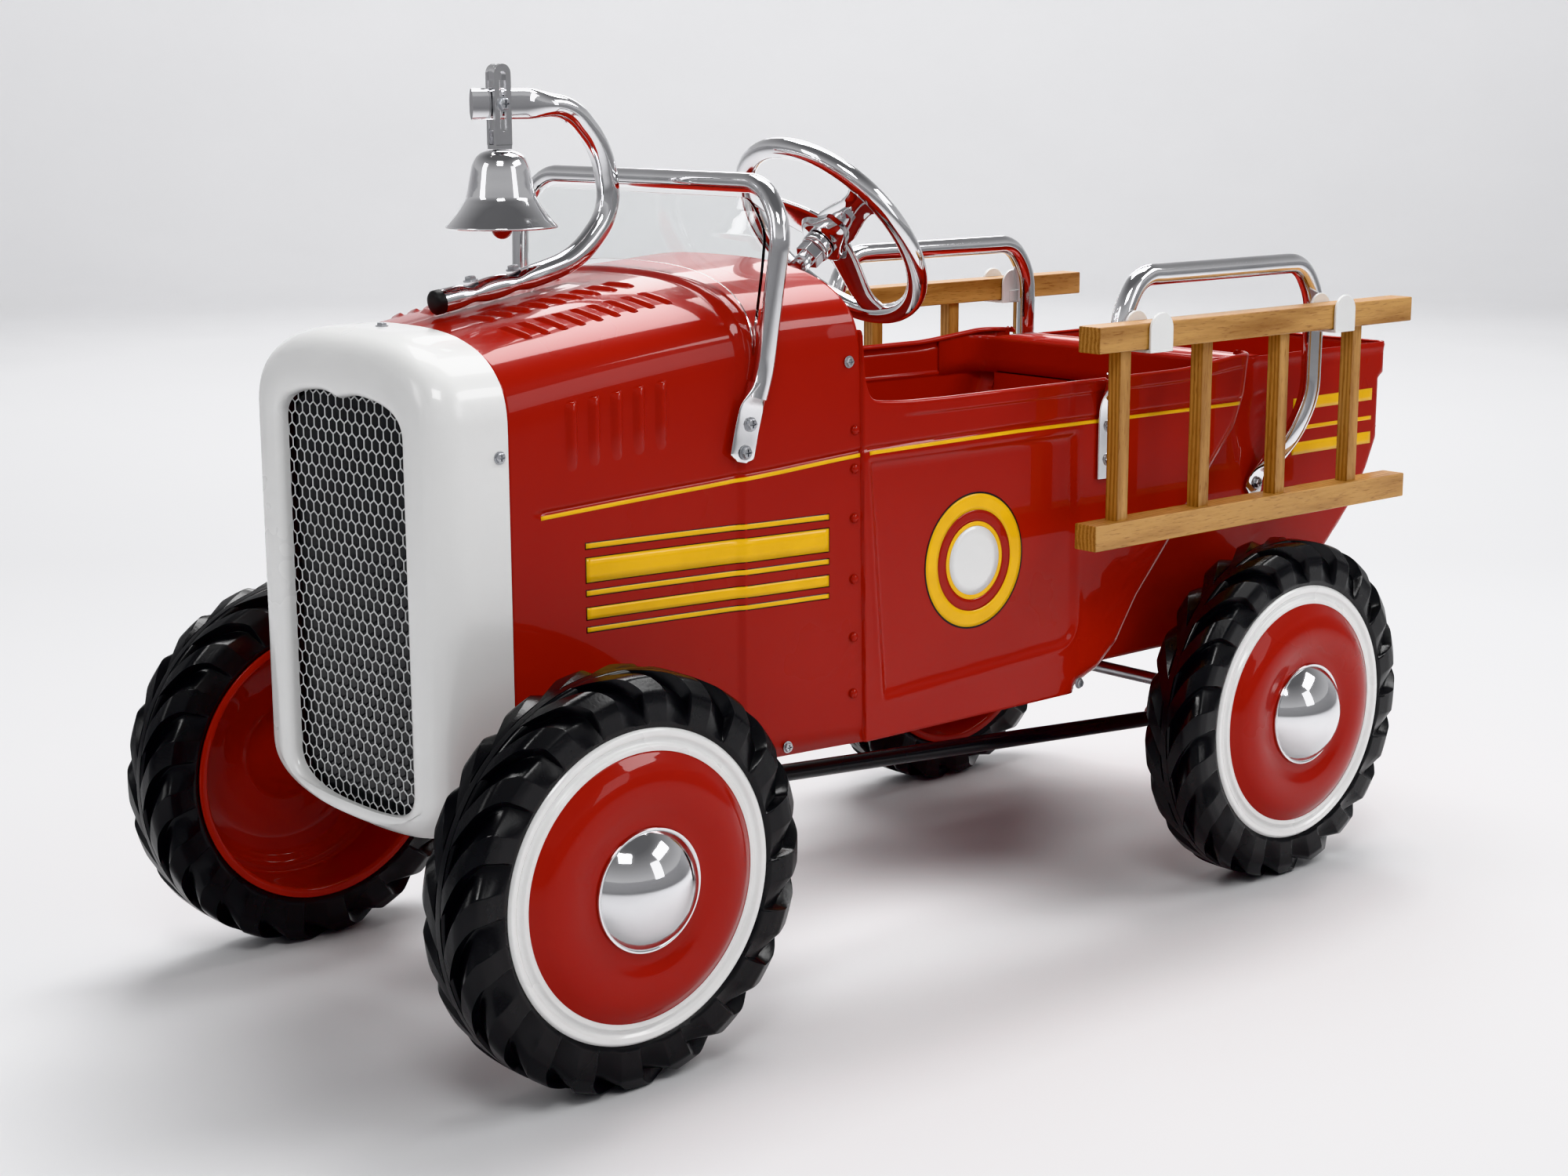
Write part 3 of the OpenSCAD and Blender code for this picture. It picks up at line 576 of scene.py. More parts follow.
def belt_groove(y, z):
    """Depth of the pressed groove just above the belt line, fading at both ends."""
    return -1.8 * bump((z - belt(y) - 3.6) / 1.7) * smooth((y + 2) / 8) * smooth((790 - y) / 8)


def hood_side(y, z):
    """Half width of the hood's skin at a height: upright below the shoulder, a superellipse above it."""
    rise = np.clip((z - hood_top(y) + SHOULDER) / SHOULDER, 0, 0.99999)
    return hood_half(y) * (1 - rise ** SQUARE) ** (1 / SQUARE) + belt_groove(y, z)


def hood_over(x, y):
    """Height of the crown at x: the same superellipse, solved the other way."""
    across = np.clip(np.abs(x) / hood_half(y), 0, 0.99999)
    ridge = 2.2 * smooth((3.2 - np.abs(x)) / 1.6) * smooth((138 - y) / 8)
    return hood_top(y) - SHOULDER + SHOULDER * (1 - across ** SQUARE) ** (1 / SQUARE) + ridge


def back_edge(z):
    """The cowl's back edge leans: its crown ends ahead of its sides."""
    return np.interp(z, [SILL_Z, 506, 598], [303, 298, 290])


SWEEP = np.array([[570, 203], [598, 212], [625, 233], [652, 272], [703, 326], [750, 378], [786, 418],
                  [800, 450], [806, 488]], float)
TAIL = np.array([[1044.5, 482], [1044.5, 449], [1037, 444], [1037, 384], [1022, 352.5], [998, 318.5],
                 [960, 282], [915, 246], [886, 216]], float)
DOOR_FOOT = rounded([[323, 235], [510, 244.5], [559, 247], [555, 437]], 46)
DOOR = np.concatenate([[[306, 437]], DOOR_FOOT])
RIM_LINE = rounded([[298.5, 545], [299.5, 508], [308, 487], [338, RIM_Z], [392, RIM_Z - 1], [700, RIM_Z - 1],
                    [780, RIM_Z + 6], [806, RIM_Z + 6]], 16)


def line_distance(y, z, line, ring=False):
    """Shortest distance from each (y, z) to a line of points."""
    ends = np.roll(line, -1, axis=0) if ring else line[1:]
    best = np.full(np.shape(y), 1e9)
    for a, b in zip(line, ends):
        d = b - a
        t = np.clip(((y - a[0]) * d[0] + (z - a[1]) * d[1]) / max(d @ d, 1e-9), 0, 1)
        best = np.minimum(best, np.hypot(y - a[0] - t * d[0], z - a[1] - t * d[1]))
    return best


def inside(y, z, ring):
    """Even-odd test of each (y, z) against a closed outline."""
    odd = np.zeros(np.shape(y), bool)
    for a, b in zip(ring, np.roll(ring, -1, axis=0)):
        cross = (a[1] > z) != (b[1] > z)
        at = a[0] + (z - a[1]) / np.where(b[1] == a[1], 1e-9, b[1] - a[1]) * (b[0] - a[0])
        odd ^= cross & (y < at)
    return odd


def door_press(y, z):
    """The door field lies lower than the skin round it; its edge is a soft step with a faint bead outside."""
    far = line_distance(y, z, DOOR, True) * np.where(inside(y, z, DOOR), 1, -1)
    return -2.6 * smooth((far + 1) / 5.5) + 0.5 * bump((far + 3.5) / 2.2)


def fold(far, r):
    """How far a skin has turned in at a distance from the edge that it folds round: a quarter circle."""
    near = np.clip(r - far, 0, r)
    return r - np.sqrt(np.maximum(r * r - near * near, 0))


def side_skin(y, z):
    """The side panel's half width: flat, with the door field, the belt groove and the sweep's fold."""
    gap = -0.9 * bump((y - 549) / 1.5) * smooth((z - 452) / 5)
    return SIDE_X + door_press(y, z) + belt_groove(y, z) + gap - fold(line_distance(y, z, SWEEP), 20.0)


def bed_skin(y, z):
    """The bed side's half width: flat, with an upright seam, a rolled rim and the fold to the tail."""
    seam = -1.0 * bump((y - 842) / 1.4)
    roll = 1.08 * bump((z - 478) / 3.0)
    lip = 0.2 * smooth((z - 444) / 4) * smooth((y - 1028) / 6)
    return BED_X - 1.2 + seam + roll + lip - fold(line_distance(y, z, TAIL), 9.0)


# ---------- Radiator shell and grille ----------
def corner(w, h, steps=22):
    """Quarter superellipse: x falls from w to 0 while z rises by h."""
    a = np.linspace(0, np.pi / 2, steps + 1)
    return np.stack([w * np.maximum(np.cos(a), 0) ** (2 / SQUARE), h * np.sin(a) ** (2 / SQUARE)], -1)


def shield(w, z0, z1, top_h, low_h):
    """Closed upright outline with a crowned top and a rounded bottom, as (x, z)."""
    top, low = corner(w, top_h), corner(w, low_h)
    top, low = top + [0, z1 - top_h], low * [1, -1] + [0, z0 + low_h]
    flank = np.linspace(top[0], low[0], 14)[1:-1]
    right = np.concatenate([top[::-1], flank, low])
    return np.concatenate([right, (right * [-1, 1])[-2:0:-1]])


def shell_outer(y, inset):
    """Outer outline of the radiator shell, drawn in by inset."""
    outline = shield(134 - inset, 165 + inset, 559 - inset, 73 - inset, 55 - inset)
    return np.insert(outline, 1, y, axis=1)


def shell_opening(y, grow):
    """Outline of the grille opening. Its top edge dips in the middle."""
    outline = shield(89 + grow, 183 - grow, 511 + grow, 30 + grow, 34 + grow)
    outline[:, 1] -= 4.5 * bump(outline[:, 0] / 13) * (outline[:, 1] > 400)
    return np.insert(outline, 1, y, axis=1)


def radiator_shell():
    """Rows of outlines: flat flank, quarter-ellipse shoulder, slightly crowned face, then a round lip."""
    turn = np.linspace(0, np.pi / 2, 14)
    rows = [shell_outer(y, 0) for y in (-25, -40, -56)]
    rows += [shell_outer(-62 - 29 * math.sin(t), 21 * (1 - math.cos(t))) for t in turn]
    face, lip = shell_outer(-91, 21), shell_opening(-91.4, 7)
    rows += [face * (1 - t) + lip * t - [0, 0.9 * math.sin(math.pi * t), 0] for t in (0.2, 0.4, 0.6, 0.8)]
    rows += [shell_opening(-84.4 - 7 * math.cos(t), 7 * (1 - math.sin(t))) for t in turn[1::2]]
    rows += [shell_opening(-81, 0)]
    back = [shell_outer(-62 - 27 * math.sin(t), 2 + 19 * (1 - math.cos(t))) for t in turn[::3]]
    rows += [shell_opening(-81, 2.2), shell_opening(-84.4 - 4.8 * 0.7, 4.5), shell_opening(-89.1, 7.6)]
    rows += back[::-1] + [shell_outer(-40, 2), shell_outer(-25, 2)]
    piece("radiator_shell_skin", [outward(grid(np.stack(rows), True, True))], WHITE, ["radiator_shell"],
          sharp=50)


def grille():
    """Honeycomb of pointed-top cells; each cell is rings of a six-sided bar section, over a black plate that
    paints the shade inside the shell.
    """
    pitch = 11.2
    size = pitch / math.sqrt(3)
    step = 1.5 * size
    at = np.array([(pitch * (i + 0.5 * (j % 2)), 347 + step * j)
                   for j in range(-18, 19) for i in range(-9, 10)])
    at = at[inside(at[:, 0], at[:, 1], shield(96, 175, 519, 38, 42))]
    turn = np.radians(np.arange(6) * 60 + 30)
    hexagon = np.stack([np.cos(turn), np.zeros(6), np.sin(turn)], -1) * size
    section = [(1.0, -80.5), (0.975, -80.8), (0.935, -80.8), (0.912, -80.5), (0.922, -80.1)]
    rings = np.stack([hexagon * f + [0, y, 0] for f, y in section])
    cell, quads = grid(rings, wrap_cols=True)
    points = (cell[None] + np.stack([at[:, 0], 0 * at[:, 0], at[:, 1]], -1)[:, None]).reshape(-1, 3)
    faces = (quads[None] + (np.arange(len(at)) * len(cell))[:, None, None]).reshape(-1, 4)
    honeycomb = facing((points, faces), (0, 0, 347))
    piece("grille_honeycomb", [honeycomb], MESH_WHITE, ["grille_mesh"], sharp=60)
    # Black plate behind the honeycomb: painted shade standing in for the dark inside of the radiator shell.
    piece("grille_painted_shade_plate", [plate(shield(97, 175, 519, 38, 42), -77.5, -76.5, "y")], BLACK, bevel=0.3)


# ---------- Hood and cowl ----------
def front_body():
    """Rows run sill, belt, shoulder, crown and down the other side, closer together at the cowl step."""
    stations = runs((HOOD_Y[0], 172, 60), (174, 192, 19), (195, 286, 26), (288, HOOD_Y[1], 5))[:, None]
    z_belt, z_shoulder = belt(stations), hood_top(stations) - SHOULDER
    t = np.linspace(0, 1, 13)[None]
    low = SILL_Z + (z_belt - 6 - SILL_Z) * t
    crease = z_belt - 6 + np.linspace(0.6, 15, 20)[None]
    high = z_belt + 9.6 + (z_shoulder - z_belt - 9.6) * t[:, 1:]
    side_z = np.concatenate([low, crease, high], 1)
    side = cells(hood_side(stations, side_z), stations, side_z)
    a = np.linspace(0, np.pi / 2, 61)[None, 1:]
    x = hood_half(stations) * np.maximum(np.cos(a), 0) ** (2 / SQUARE)
    flank_z = z_shoulder + SHOULDER * np.sin(a) ** (2 / SQUARE)
    crown = cells(x, stations, np.where(x > 30, flank_z, hood_over(x, stations)))
    half = np.concatenate([side, crown], 1)
    skin = np.concatenate([half, (half * MIRROR)[:, -2::-1]], 1)
    skin[..., 1] += (back_edge(skin[..., 2]) - HOOD_Y[1]) * smooth((skin[..., 1] - 235) / 61)
    piece("hood_and_cowl", [facing(grid(skin), (0, 140, 380))], RED, ["front_body"], sharp=45, wall=SHEET)


def slopes(skin, u, v):
    """Slopes of a skin both ways, from points half a millimetre to each side."""
    return skin(u + 0.5, v) - skin(u - 0.5, v), skin(u, v + 0.5) - skin(u, v - 0.5)


def over_crown(x, y, height):
    """Points at a height above the crown, along its normal."""
    slope_x, slope_y = slopes(hood_over, x, y)
    return cells(x, y, hood_over(x, y)) + height[..., None] * unit(cells(-slope_x, -slope_y, 1))


def off_side(y, z, height):
    """Points at a height off the hood's side, along its normal."""
    slope_y, slope_z = slopes(hood_side, y, z)
    return cells(hood_side(y, z), y, z) + height[..., None] * unit(cells(1, -slope_y, -slope_z))


def pressing(rows, columns, fade, end, rise, drop):
    """Grid (u, v) of a louvre and its height: soft at u = 0, round at u = 1, rising and dropping along v."""
    u, v = np.meshgrid(np.linspace(0, 1, rows), np.linspace(-1, 1, columns), indexing="ij")
    ends = smooth(u / fade) * np.sqrt(np.clip((1 - u) / end, 0, 1))
    return u, v, ends * smooth((v + 1) / rise) * smooth((drop[0] - v) / drop[1])


def hood_louvres():
    """Slanted pressings in two rows each side: a ramp that rises along the car and ends in a steep drop."""
    parts = []
    u, v, lift = pressing(22, 19, 0.35, 0.13, 1.25, (0.85, 0.5))
    wide = 4.6 * (0.55 + 0.45 * smooth(u / 0.6))
    for inner, outer in (((64, 73), (97.5, 108)), ((19, 25), (51, 59.5))):
        for x0, x1, y0 in zip(np.linspace(*inner, 9), np.linspace(*outer, 9), np.linspace(14, 142, 9)):
            points = over_crown(x0 + u * (x1 - x0), y0 + u * 9 + v * wide, 2.8 * lift - 0.25)
            sheet = facing(grid(points), (0, 80, 300))
            parts += [sheet, mirrored(sheet)]
    piece("hood_top_louvres", parts, RED, sharp=60, wall=0.8)


def side_louvres():
    """Five upright louvres each side, steep behind, soft ahead and fading out at the bottom."""
    parts = []
    u, v, lift = pressing(26, 17, 0.4, 0.12, 1.1, (1, 0.65))
    for k in range(5):
        y = 31 + 20 * k + 6.2 * v
        z = 455 + 57 * u + 0.12 * (y - 71)
        sheet = facing(grid(off_side(y, z, 3.6 * lift - 0.2)), (0, 80, 400))
        parts += [sheet, mirrored(sheet)]
    piece("hood_side_louvres", parts, RED, sharp=60, wall=0.8)


# ---------- Side panels, bed and cockpit ----------
def rolled(rows, r, angles, inwards, fall=0.0):
    """The rows with a bead rolled along the last one: it turns by each angle, inwards and down by r."""
    rim = rows[-1]
    bead = [rim - r * (1 - math.cos(a)) * inwards + [0, 0, r * (math.sin(a) - fall)] for a in angles]
    return np.concatenate([rows, np.stack(bead)])


def side_panel(name, s):
    """Rows of even height run from the cowl back to the sweep, then fold in to the bed's width. The top rows
    follow the rim, which rolls over inwards."""
    level = runs((SILL_Z, 232, 14), (236, 434, 60), (436, 458, 23), (460, RIM_Z, 25))[:, None]
    front = np.interp(level, [SILL_Z, 506], [303.3, 298.6]) - LAP
    curve = curved(SWEEP, 10)
    back = np.interp(level, curve[:, 1], curve[:, 0])
    back = np.where(level < 203, 570 - 4 * (203 - level), back)
    near_sweep = 1 - 0.06 * np.cos(np.linspace(0, np.pi / 2, 16))[1:]
    f = np.concatenate([np.linspace(0, 0.045, 18)[:-1], np.linspace(0.045, 0.94, 134), near_sweep])[None]
    y = front + f * (back - front)
    rim = np.interp(y, RIM_LINE[:, 0], RIM_LINE[:, 1])
    z = level + (rim - RIM_Z - 3) * smooth((level - 452) / (RIM_Z - 452))
    band = 1.3 * smooth((z - rim + 13) / 2.4) * smooth((y - 345) / 12) * smooth((790 - y) / 12)
    x = side_skin(y, z) + band - LAP_DROP * smooth((front + LAP - 0.4 - y) / 2.6)
    deep = np.linspace(0, 1, 8)[None, 1:]
    inner = cells(x[:, -1:] + (BED_X - x[:, -1:]) * deep, y[:, -1:], z[:, -1:])
    skin = np.concatenate([cells(x, y, z), inner], 1)
    skin = rolled(skin, 3.2, np.linspace(0.3, math.pi * 1.15, 9), np.array([1, 0, 0]))
    sheet = facing(grid(skin), (0, 500, 340))
    piece("side_panel_%s_skin" % name, [sheet], RED, ["side_panel_" + name], side=s, sharp=50, wall=1.6)


def bed_tub():
    """One skin from the left bed side round the tail to the right, folded along the tail's outline."""
    tail = np.concatenate([TAIL[:3], curved(TAIL[3:], 8)])[::-1]
    sweep = curved(SWEEP, 10)
    level = runs((216, 440, 46), (443, 451, 9), (455, 482, 9))[:, None]
    back = np.interp(level, tail[:, 1], tail[:, 0])
    front = np.minimum(np.interp(level, sweep[:, 1], sweep[:, 0]) - 8, 797)
    near_tail = 1 - 0.1 * np.cos(np.linspace(0, np.pi / 2, 22))[1:]
    y = front + np.concatenate([np.linspace(0, 0.9, 40), near_tail])[None] * (back - front)
    x = bed_skin(y, level + 0 * y)
    left = cells(x, y, level)
    behind = cells(x[:, -1:] * np.linspace(1, -1, 26)[None, 1:-1], y[:, -1:], level)
    skin = np.concatenate([left, behind, (left * MIRROR)[:, ::-1]], 1)
    inwards = unit((skin[-1] - [0, 900, 0]) * [1, 1, 0])
    skin = rolled(skin, 1.6, np.linspace(0.3, math.pi, 7), inwards, 1.0)
    piece("bed_tub_skin", [facing(grid(skin), (0, 900, 400))], RED,
          ["bed_side_left", "bed_side_right", "tail_panel"], sharp=50, wall=1.6)


def cockpit():
    """Seat pan with a rolled front, back wall rounded in plan with its deck, and the bed floor with ribs."""
    low = BED_X - SHEET - 0.4
    pan = rounded([[592, 302], [592, 331], [779, 331]], 9)
    y, z = pan[:, :1], pan[:, 1:]
    u = np.linspace(-low, low, 30)[None]
    dish = -4.0 * smooth((low - np.abs(u)) / 60) * smooth((y - 600) / 60)
    seat = facing(grid(cells(u, y, z + 1.9 + dish)), (0, 700, 200))
    piece("seat_pan_skin", [seat], RED, ["seat_pan"], wall=1.6)

    plan = rounded([[169.6, 722], [169.6, 780], [0, 780]], 44, 14)
    plan = np.concatenate([plan, (plan * [-1, 1])[-2::-1]])
    wall = [np.insert(plan, 2, z, axis=1) for z in (446, 460, 474, 478)]
    for a in np.linspace(0.2, np.pi / 2, 6):
        back = plan + [0, 3.0 * (1 - math.cos(a))]
        wall.append(np.insert(back, 2, 478.6 + 4.6 * math.sin(a), axis=1))
    wall = facing(grid(np.stack(wall)), (0, 900, 440))
    deck = rounded([[782, 483.4], [838, 483.4], [841.6, 480], [841.6, 400]], 5)
    deck = facing(grid(cells(np.linspace(-low, low, 24)[None], deck[:, :1], deck[:, 1:])), (0, 800, 430))
    piece("seat_back_skin", [wall, deck], RED, ["seat_back"], wall=1.6)
    under = plate([[-low, 333], [low, 333], [low, 448], [-low, 448]], 780, 781.6, "y")
    piece("seat_back_lower", [under], RED, bevel=0.5)

    u, v = np.meshgrid(np.linspace(-low, low, 160), np.linspace(842.5, 1033, 20), indexing="ij")
    rib = 3.0 * smooth((np.cos(u * 2 * np.pi / 49.3) - 0.35) / 0.5)
    rib = rib * smooth((v - 856) / 8) * smooth((1020 - v) / 8)
    floor = facing(grid(cells(u, v, 396.9 + rib)), (0, 930, 300))
    piece("bed_floor_skin", [floor], RED, ["bed_floor"], wall=1.4)


# ---------- Wheels ----------
TREAD = [[2.5, 159.7], [8, 160], [19.5, 159.6], [23.6, 157.9], [30.4, 147.2], [31.5, 139], [31.1, 124.5]]
VALLEY = [[2.5, 153.4], [8, 152.6], [15, 150.2], [20.2, 146.2], [23.6, 141], [25.8, 135], [28, 129],
          [30.4, 123.6]]
LUG_STEPS = [0, 0.015, 0.1, 0.2, 0.3, 0.4, 0.44, 0.455, 0.468, 0.48, 0.50, 0.54, 0.59, 0.65, 0.71, 0.77,
             0.83, 0.89, 0.94, 0.98]


def lug_height(t):
    """One lug over one pitch: a flat top, a steep trailing face, and a hollow that climbs to a crease."""
    drop = 1 - 0.97 * smooth((t - 0.445) / 0.035)
    climb = 0.03 + 0.97 * np.clip((t - 0.5) / 0.5, 0, 1) ** 1.45
    return np.where(t < 0.49, drop, climb)


def tyre_half(side):
    """Half a tyre about its own axle: the height over the valley runs with phase = turn + sweep across it."""
    tread, valley = (resampled(rounded(line, r, 6), 44) for line, r in ((TREAD, 1.6), (VALLEY, 5.0)))
    q = np.linspace(0, 1, len(tread))
    sweep = 1 - (1 - np.clip(q / 0.6, 0, 1)) ** 1.5 + 0.25 * np.clip(q - 0.6, 0, 1)
    phase = (np.arange(LUGS)[:, None] + np.array(LUG_STEPS)).reshape(-1)
    section = valley[:, None] + (tread - valley)[:, None] * lug_height(phase % 1)[None, :, None]
    stagger = 0.5 if side > 0 else 0.0
    turn = 2 * np.pi / LUGS * (phase[None] - sweep[:, None] + stagger)
    turn = np.concatenate([turn, turn[-1:], turn[-1:], turn[:1]])
    bead = np.array([[29.6, 121.6], [25.4, 113.8], [2.5, 113.8]])
    section = np.concatenate([section, np.repeat(bead[:, None], section.shape[1], 1)])
    return outward(grid(spun(side * section[..., 0], section[..., 1], turn, "x"), True, True))


def tyre(place, s, hub, body):
    """Two staggered halves and a centre band with two thin grooves."""
    half = [(0, 160), (2.9, 159.9), (3.2, 158.6), (3.8, 158.6), (4.1, 159.8), (5.2, 159.3), (6.2, 157.6),
            (6.2, 153)]
    band = [(-along, radius) for along, radius in half[:0:-1]] + half
    ring = turned(band, (0, 0, 0), count=160)
    parts = [moved(part, hub) for part in (tyre_half(1), tyre_half(-1), ring)]
    piece("tyre_%s_lugged" % place, parts, RUBBER, ["tyre_" + place], body=body, side=s, sharp=38)


def wheel(place, s, hub, body):
    """Pressed disc with a drawn bulge, a hub cone behind, and a separate white rim ring outside."""
    h = TYRE_HALF
    bore = 6.45
    face = curved([(36.9, 47), (37.1, 54), (38.2, 60), (39.9, 68), (40.6, 77), (39.6, 86), (37.2, 93),
                   (33.4, 99), (30.6, 103.0)], 5)
    back = [(30.4, 104.5), (27.0, 112.9), (3.4 - h, 112.9), (3 - h, 119), (0.6 - h, 119), (0.6 - h, 111),
            (h - 8, 110.4), (h - 6.5, 102), (32, 94), (35.6, 79), (35.6, 62), (33.5, 42), (20, 30), (4, 20),
            (-22, 16), (-26, 13.5), (-26, bore)]
    disc = turned(np.concatenate([[(36.9, bore)], face, rounded(back, 4.0, 4)]), hub, count=128)
    ring = [(30.7, 103.4), (h - 0.5, 104.8), (h - 0.1, 107.4), (h - 3.0, 109.0), (h - 3.2, 112.0),
            (h - 0.5, 114.4), (h - 0.1, 118.4), (h - 2.6, 120.9), (h - 5.6, 113.2), (h - 8.5, 113.2)]
    ring = turned(rounded(ring, 1.0, 4), hub, count=144)
    piece("wheel_disc_" + place, [disc], RED, ["wheel_" + place], body=body, side=s, sharp=40)
    piece("rim_ring_" + place, [ring], WHITE, body=body, side=s, sharp=40)


def hubcap(place, s, hub, body):
    """Spherical dome of sheet metal with a thin rolled flange and a small step at its foot."""
    r, dome, foot = 47.9, 24.5, 39.2
    flange = [(37.4, r - 3.5), (37.4, r - 0.2), (38.4, r), (39.4, r - 0.6), (39.5, r - 2.2)]
    inner = r - 2.6
    ball = (inner * inner + dome * dome) / (2 * dome)
    a = np.linspace(math.asin((ball - dome) / ball), np.pi / 2, 22)
    line = np.stack([foot + ball * np.sin(a) - ball + dome, np.maximum(ball * np.cos(a), 0)], -1)
    under = (line - [1.2, 0])[::-1]
    cap = turned(np.concatenate([flange, line, under, [(37.6, inner - 1.5)]]), hub, count=112)
    piece("hubcap_%s_dome" % place, [cap], CHROME, ["hubcap_" + place], body=body, side=s, sharp=50)


# ---------- Windshield ----------
def windshield():
    """Round tube over the cowl whose legs flatten into bolted feet, and a clear sheet behind it."""
    leg = [[163.4, 193, 498], [165, 199, 520], [175.5, 209, 632], [147, 215, 664]]
    half = rounded(leg + [[0, 218, 664]], 26, 14)
    half = np.concatenate([resampled(half[:2], 8)[:-1], half[1:]])
    path = np.concatenate([half, (half * MIRROR)[-2::-1]])
    tube = swept(path, [0, 1, 0.1], 8.0, sides=32)
    foot = curved([[160, 195.5, 510], [159.6, 192.5, 496], [158.4, 189.5, 484], [157.8, 186, 470],
                   [157.6, 183, 456], [157.3, 181, 447.5]], 6)
    f = np.linspace(0, 1, len(foot))
    thick = 8 - 6.3 * smooth(f / 0.28)
    wide = 8 + 4.5 * smooth(f / 0.35) - 7 * smooth((f - 0.86) / 0.14) ** 2
    foot = foot + [2.6, 0, 0] * smooth(1 - f / 0.3)[:, None]
    flat = swept(foot, [0, 1, 0], wide, thick, sides=32, power=3.2)
    piece("windshield_tube", [tube, flat, mirrored(flat)], CHROME, ["windshield_frame"], sharp=50)
    low = corner(157, 75, 30)[1:] + [0, 523]
    outline = rounded([[157.5, 552], [162, 600], [163, 627], [154, 641], [141, 654], [0, 655]], 9, 6)[:-1]
    right = np.concatenate([low[::-1], outline])
    ring = np.concatenate([right, (right * [-1, 1])[:0:-1]])
    tilt = math.atan2(10, 120)
    points, faces = plate(ring, 0, 3, "y")
    up = points[:, 2] - 500
    c, s = math.cos(tilt), math.sin(tilt)
    points = np.stack([points[:, 0], 190.5 + points[:, 1] * c + up * s, 500 - points[:, 1] * s + up * c], -1)
    piece("windshield_sheet", [outward((points, faces))], CLEAR, ["windshield_pane"], bevel=0.4)


# ---------- Bell ----------
def bell_arm():
    """Gooseneck: a tube with two flats where it is screwed down and its end pressed to an upright plate."""
    neck = rounded([[0, 6, 574.5], [0, 90, 588], [0, 140, 601], [0, 176, 640], [0, 167, 690], [0, 137, 722],
                    [0, 104, 726], [0, 41, 726]], 60, 14)
    neck = resampled(neck, 150)
    y = neck[:, 1]
    lower = neck[:, 2] < 610
    dimple = np.where(lower, bump((y - 36) / 9) + bump((y - 77) / 9), 0)
    press = np.where(neck[:, 2] > 700, smooth((120 - y) / 26), 0)
    across = 9.5 + 0.8 * dimple - 7.0 * press
    upright = 9.5 - 2.2 * dimple + 2.6 * press
    tube = swept(neck, [1, 0, 0], across, upright, sides=36)
    piece("gooseneck_arm", [tube], CHROME, ["bell_arm"], sharp=50)
    cap = turned([(-1.4, 0), (-1.2, 5.5), (-0.2, 8.6), (1.2, 9.7), (7, 9.7), (7, 0)], (0, 0, 0), "z", 40,
                 closed=False)
    lean = math.radians(8.4)
    c, s = math.cos(lean), math.sin(lean)
    points, faces = cap
    points = points @ np.array([[1, 0, 0], [0, -s, c], [0, c, s]]) + [0, 0.6, 573.7]
    piece("arm_end_plug", [outward((points, faces))], NYLON, ["arm_plug"], sharp=40)


def bell_strap():
    """Hairpin strap: two slotted legs joined over the arm's plate, with a through bolt."""
    outer, slot = stadium(67, 694 - 7.9, 757, 7.9), stadium(67, 704.8, 751.2, 3.1)
    outer[:, 1] = np.maximum(outer[:, 1], 694)
    legs = [framed(outer, slot, x, x + 3) for x in (-6, 3)]
    bridge = [[59.6, 744], [59.6, 752], [62, 756], [67, 756.8], [72, 756], [74.4, 752], [74.4, 744]]
    bridge = plate(rounded(bridge, 2), -3.1, 3.1)
    foot = block((-6, 59.5, 691), (6, 74.5, 694.4))
    piece("strap_hairpin", legs + [bridge, foot], CHROME, ["bell_strap"], body="bell", bevel=0.7)
    bolt = turned([(-6.2, 0), (-6.2, 3.0), (6.2, 3.0), (6.2, 0)], (0, 67, 726), count=32, closed=False)
    piece("strap_bolt_shank", [bolt], ZINC, body="bell", sharp=40)


def bell():
    """Thin turned wall: round shoulder, long straight waist, a crease and a flared lip, with its clapper."""
    waist = curved([(690.8, 0), (690.6, 6), (689.2, 13), (685.5, 18.8), (679, 22.4), (670, 24.4), (660, 26.3),
                    (653.5, 27.8)], 5)
    flare = curved([(651.6, 28.8), (646, 32.2), (640, 36.6), (634.6, 41.4), (631.2, 44.4)], 5)
    lip = arc((630.4, 43.6), 1.2, 40, 220, 8)
    inner = curved([(633, 40.6), (639, 35), (646, 30), (653, 26.2), (662, 24), (672, 22), (679, 20),
                    (684, 15.5), (687, 9), (687.8, 0)], 4)
    shell = turned(np.concatenate([waist, flare, lip, inner]), (0, 67, 0), "z", 128)
    piece("bell_cup", [shell], CHROME, ["bell"], body="bell", sharp=40)
    stem = [(635, 0), (635, 1.8), (680, 1.8), (681, 3.0), (683, 3.0), (685.6, 1.6), (686, 0)]
    a = np.linspace(-np.pi / 2, np.pi / 2, 20)
    ball = np.stack([629 + 8.5 * np.sin(a), np.maximum(8.5 * np.cos(a), 0)], -1)
    parts = [turned(stem, (0, 67, 0), "z", 24, closed=False), turned(ball, (0, 67, 0), "z", 40, closed=False)]
    piece("clapper_ball", parts, RED, ["clapper"], body="clapper", sharp=40)


# ---------- Steering ----------
def column_piece(name, parts, finish, nodes=(), **looks):
    """Piece drawn about the steering column."""
    piece(name, [on_column(part) for part in parts], finish, nodes, body="steering", **looks)


def spoke(angle):
    """Broad tapering arm from the boss to the ring, at an angle round the wheel."""
    c, s = math.cos(math.radians(angle)), math.sin(math.radians(angle))
    out = np.linspace(8, 90, 30)
    drop = -1.5 - 2.5 * smooth((out - 18) / 60) + 3.0 * smooth((out - 64) / 24)
    wide = 19 - 5.5 * smooth((out - 16) / 55) + 4.5 * smooth((out - 72) / 16)
    return swept(np.stack([out * c, out * s, drop], -1), [-s, c, 0], wide, 3.6, sides=28, power=2.6)


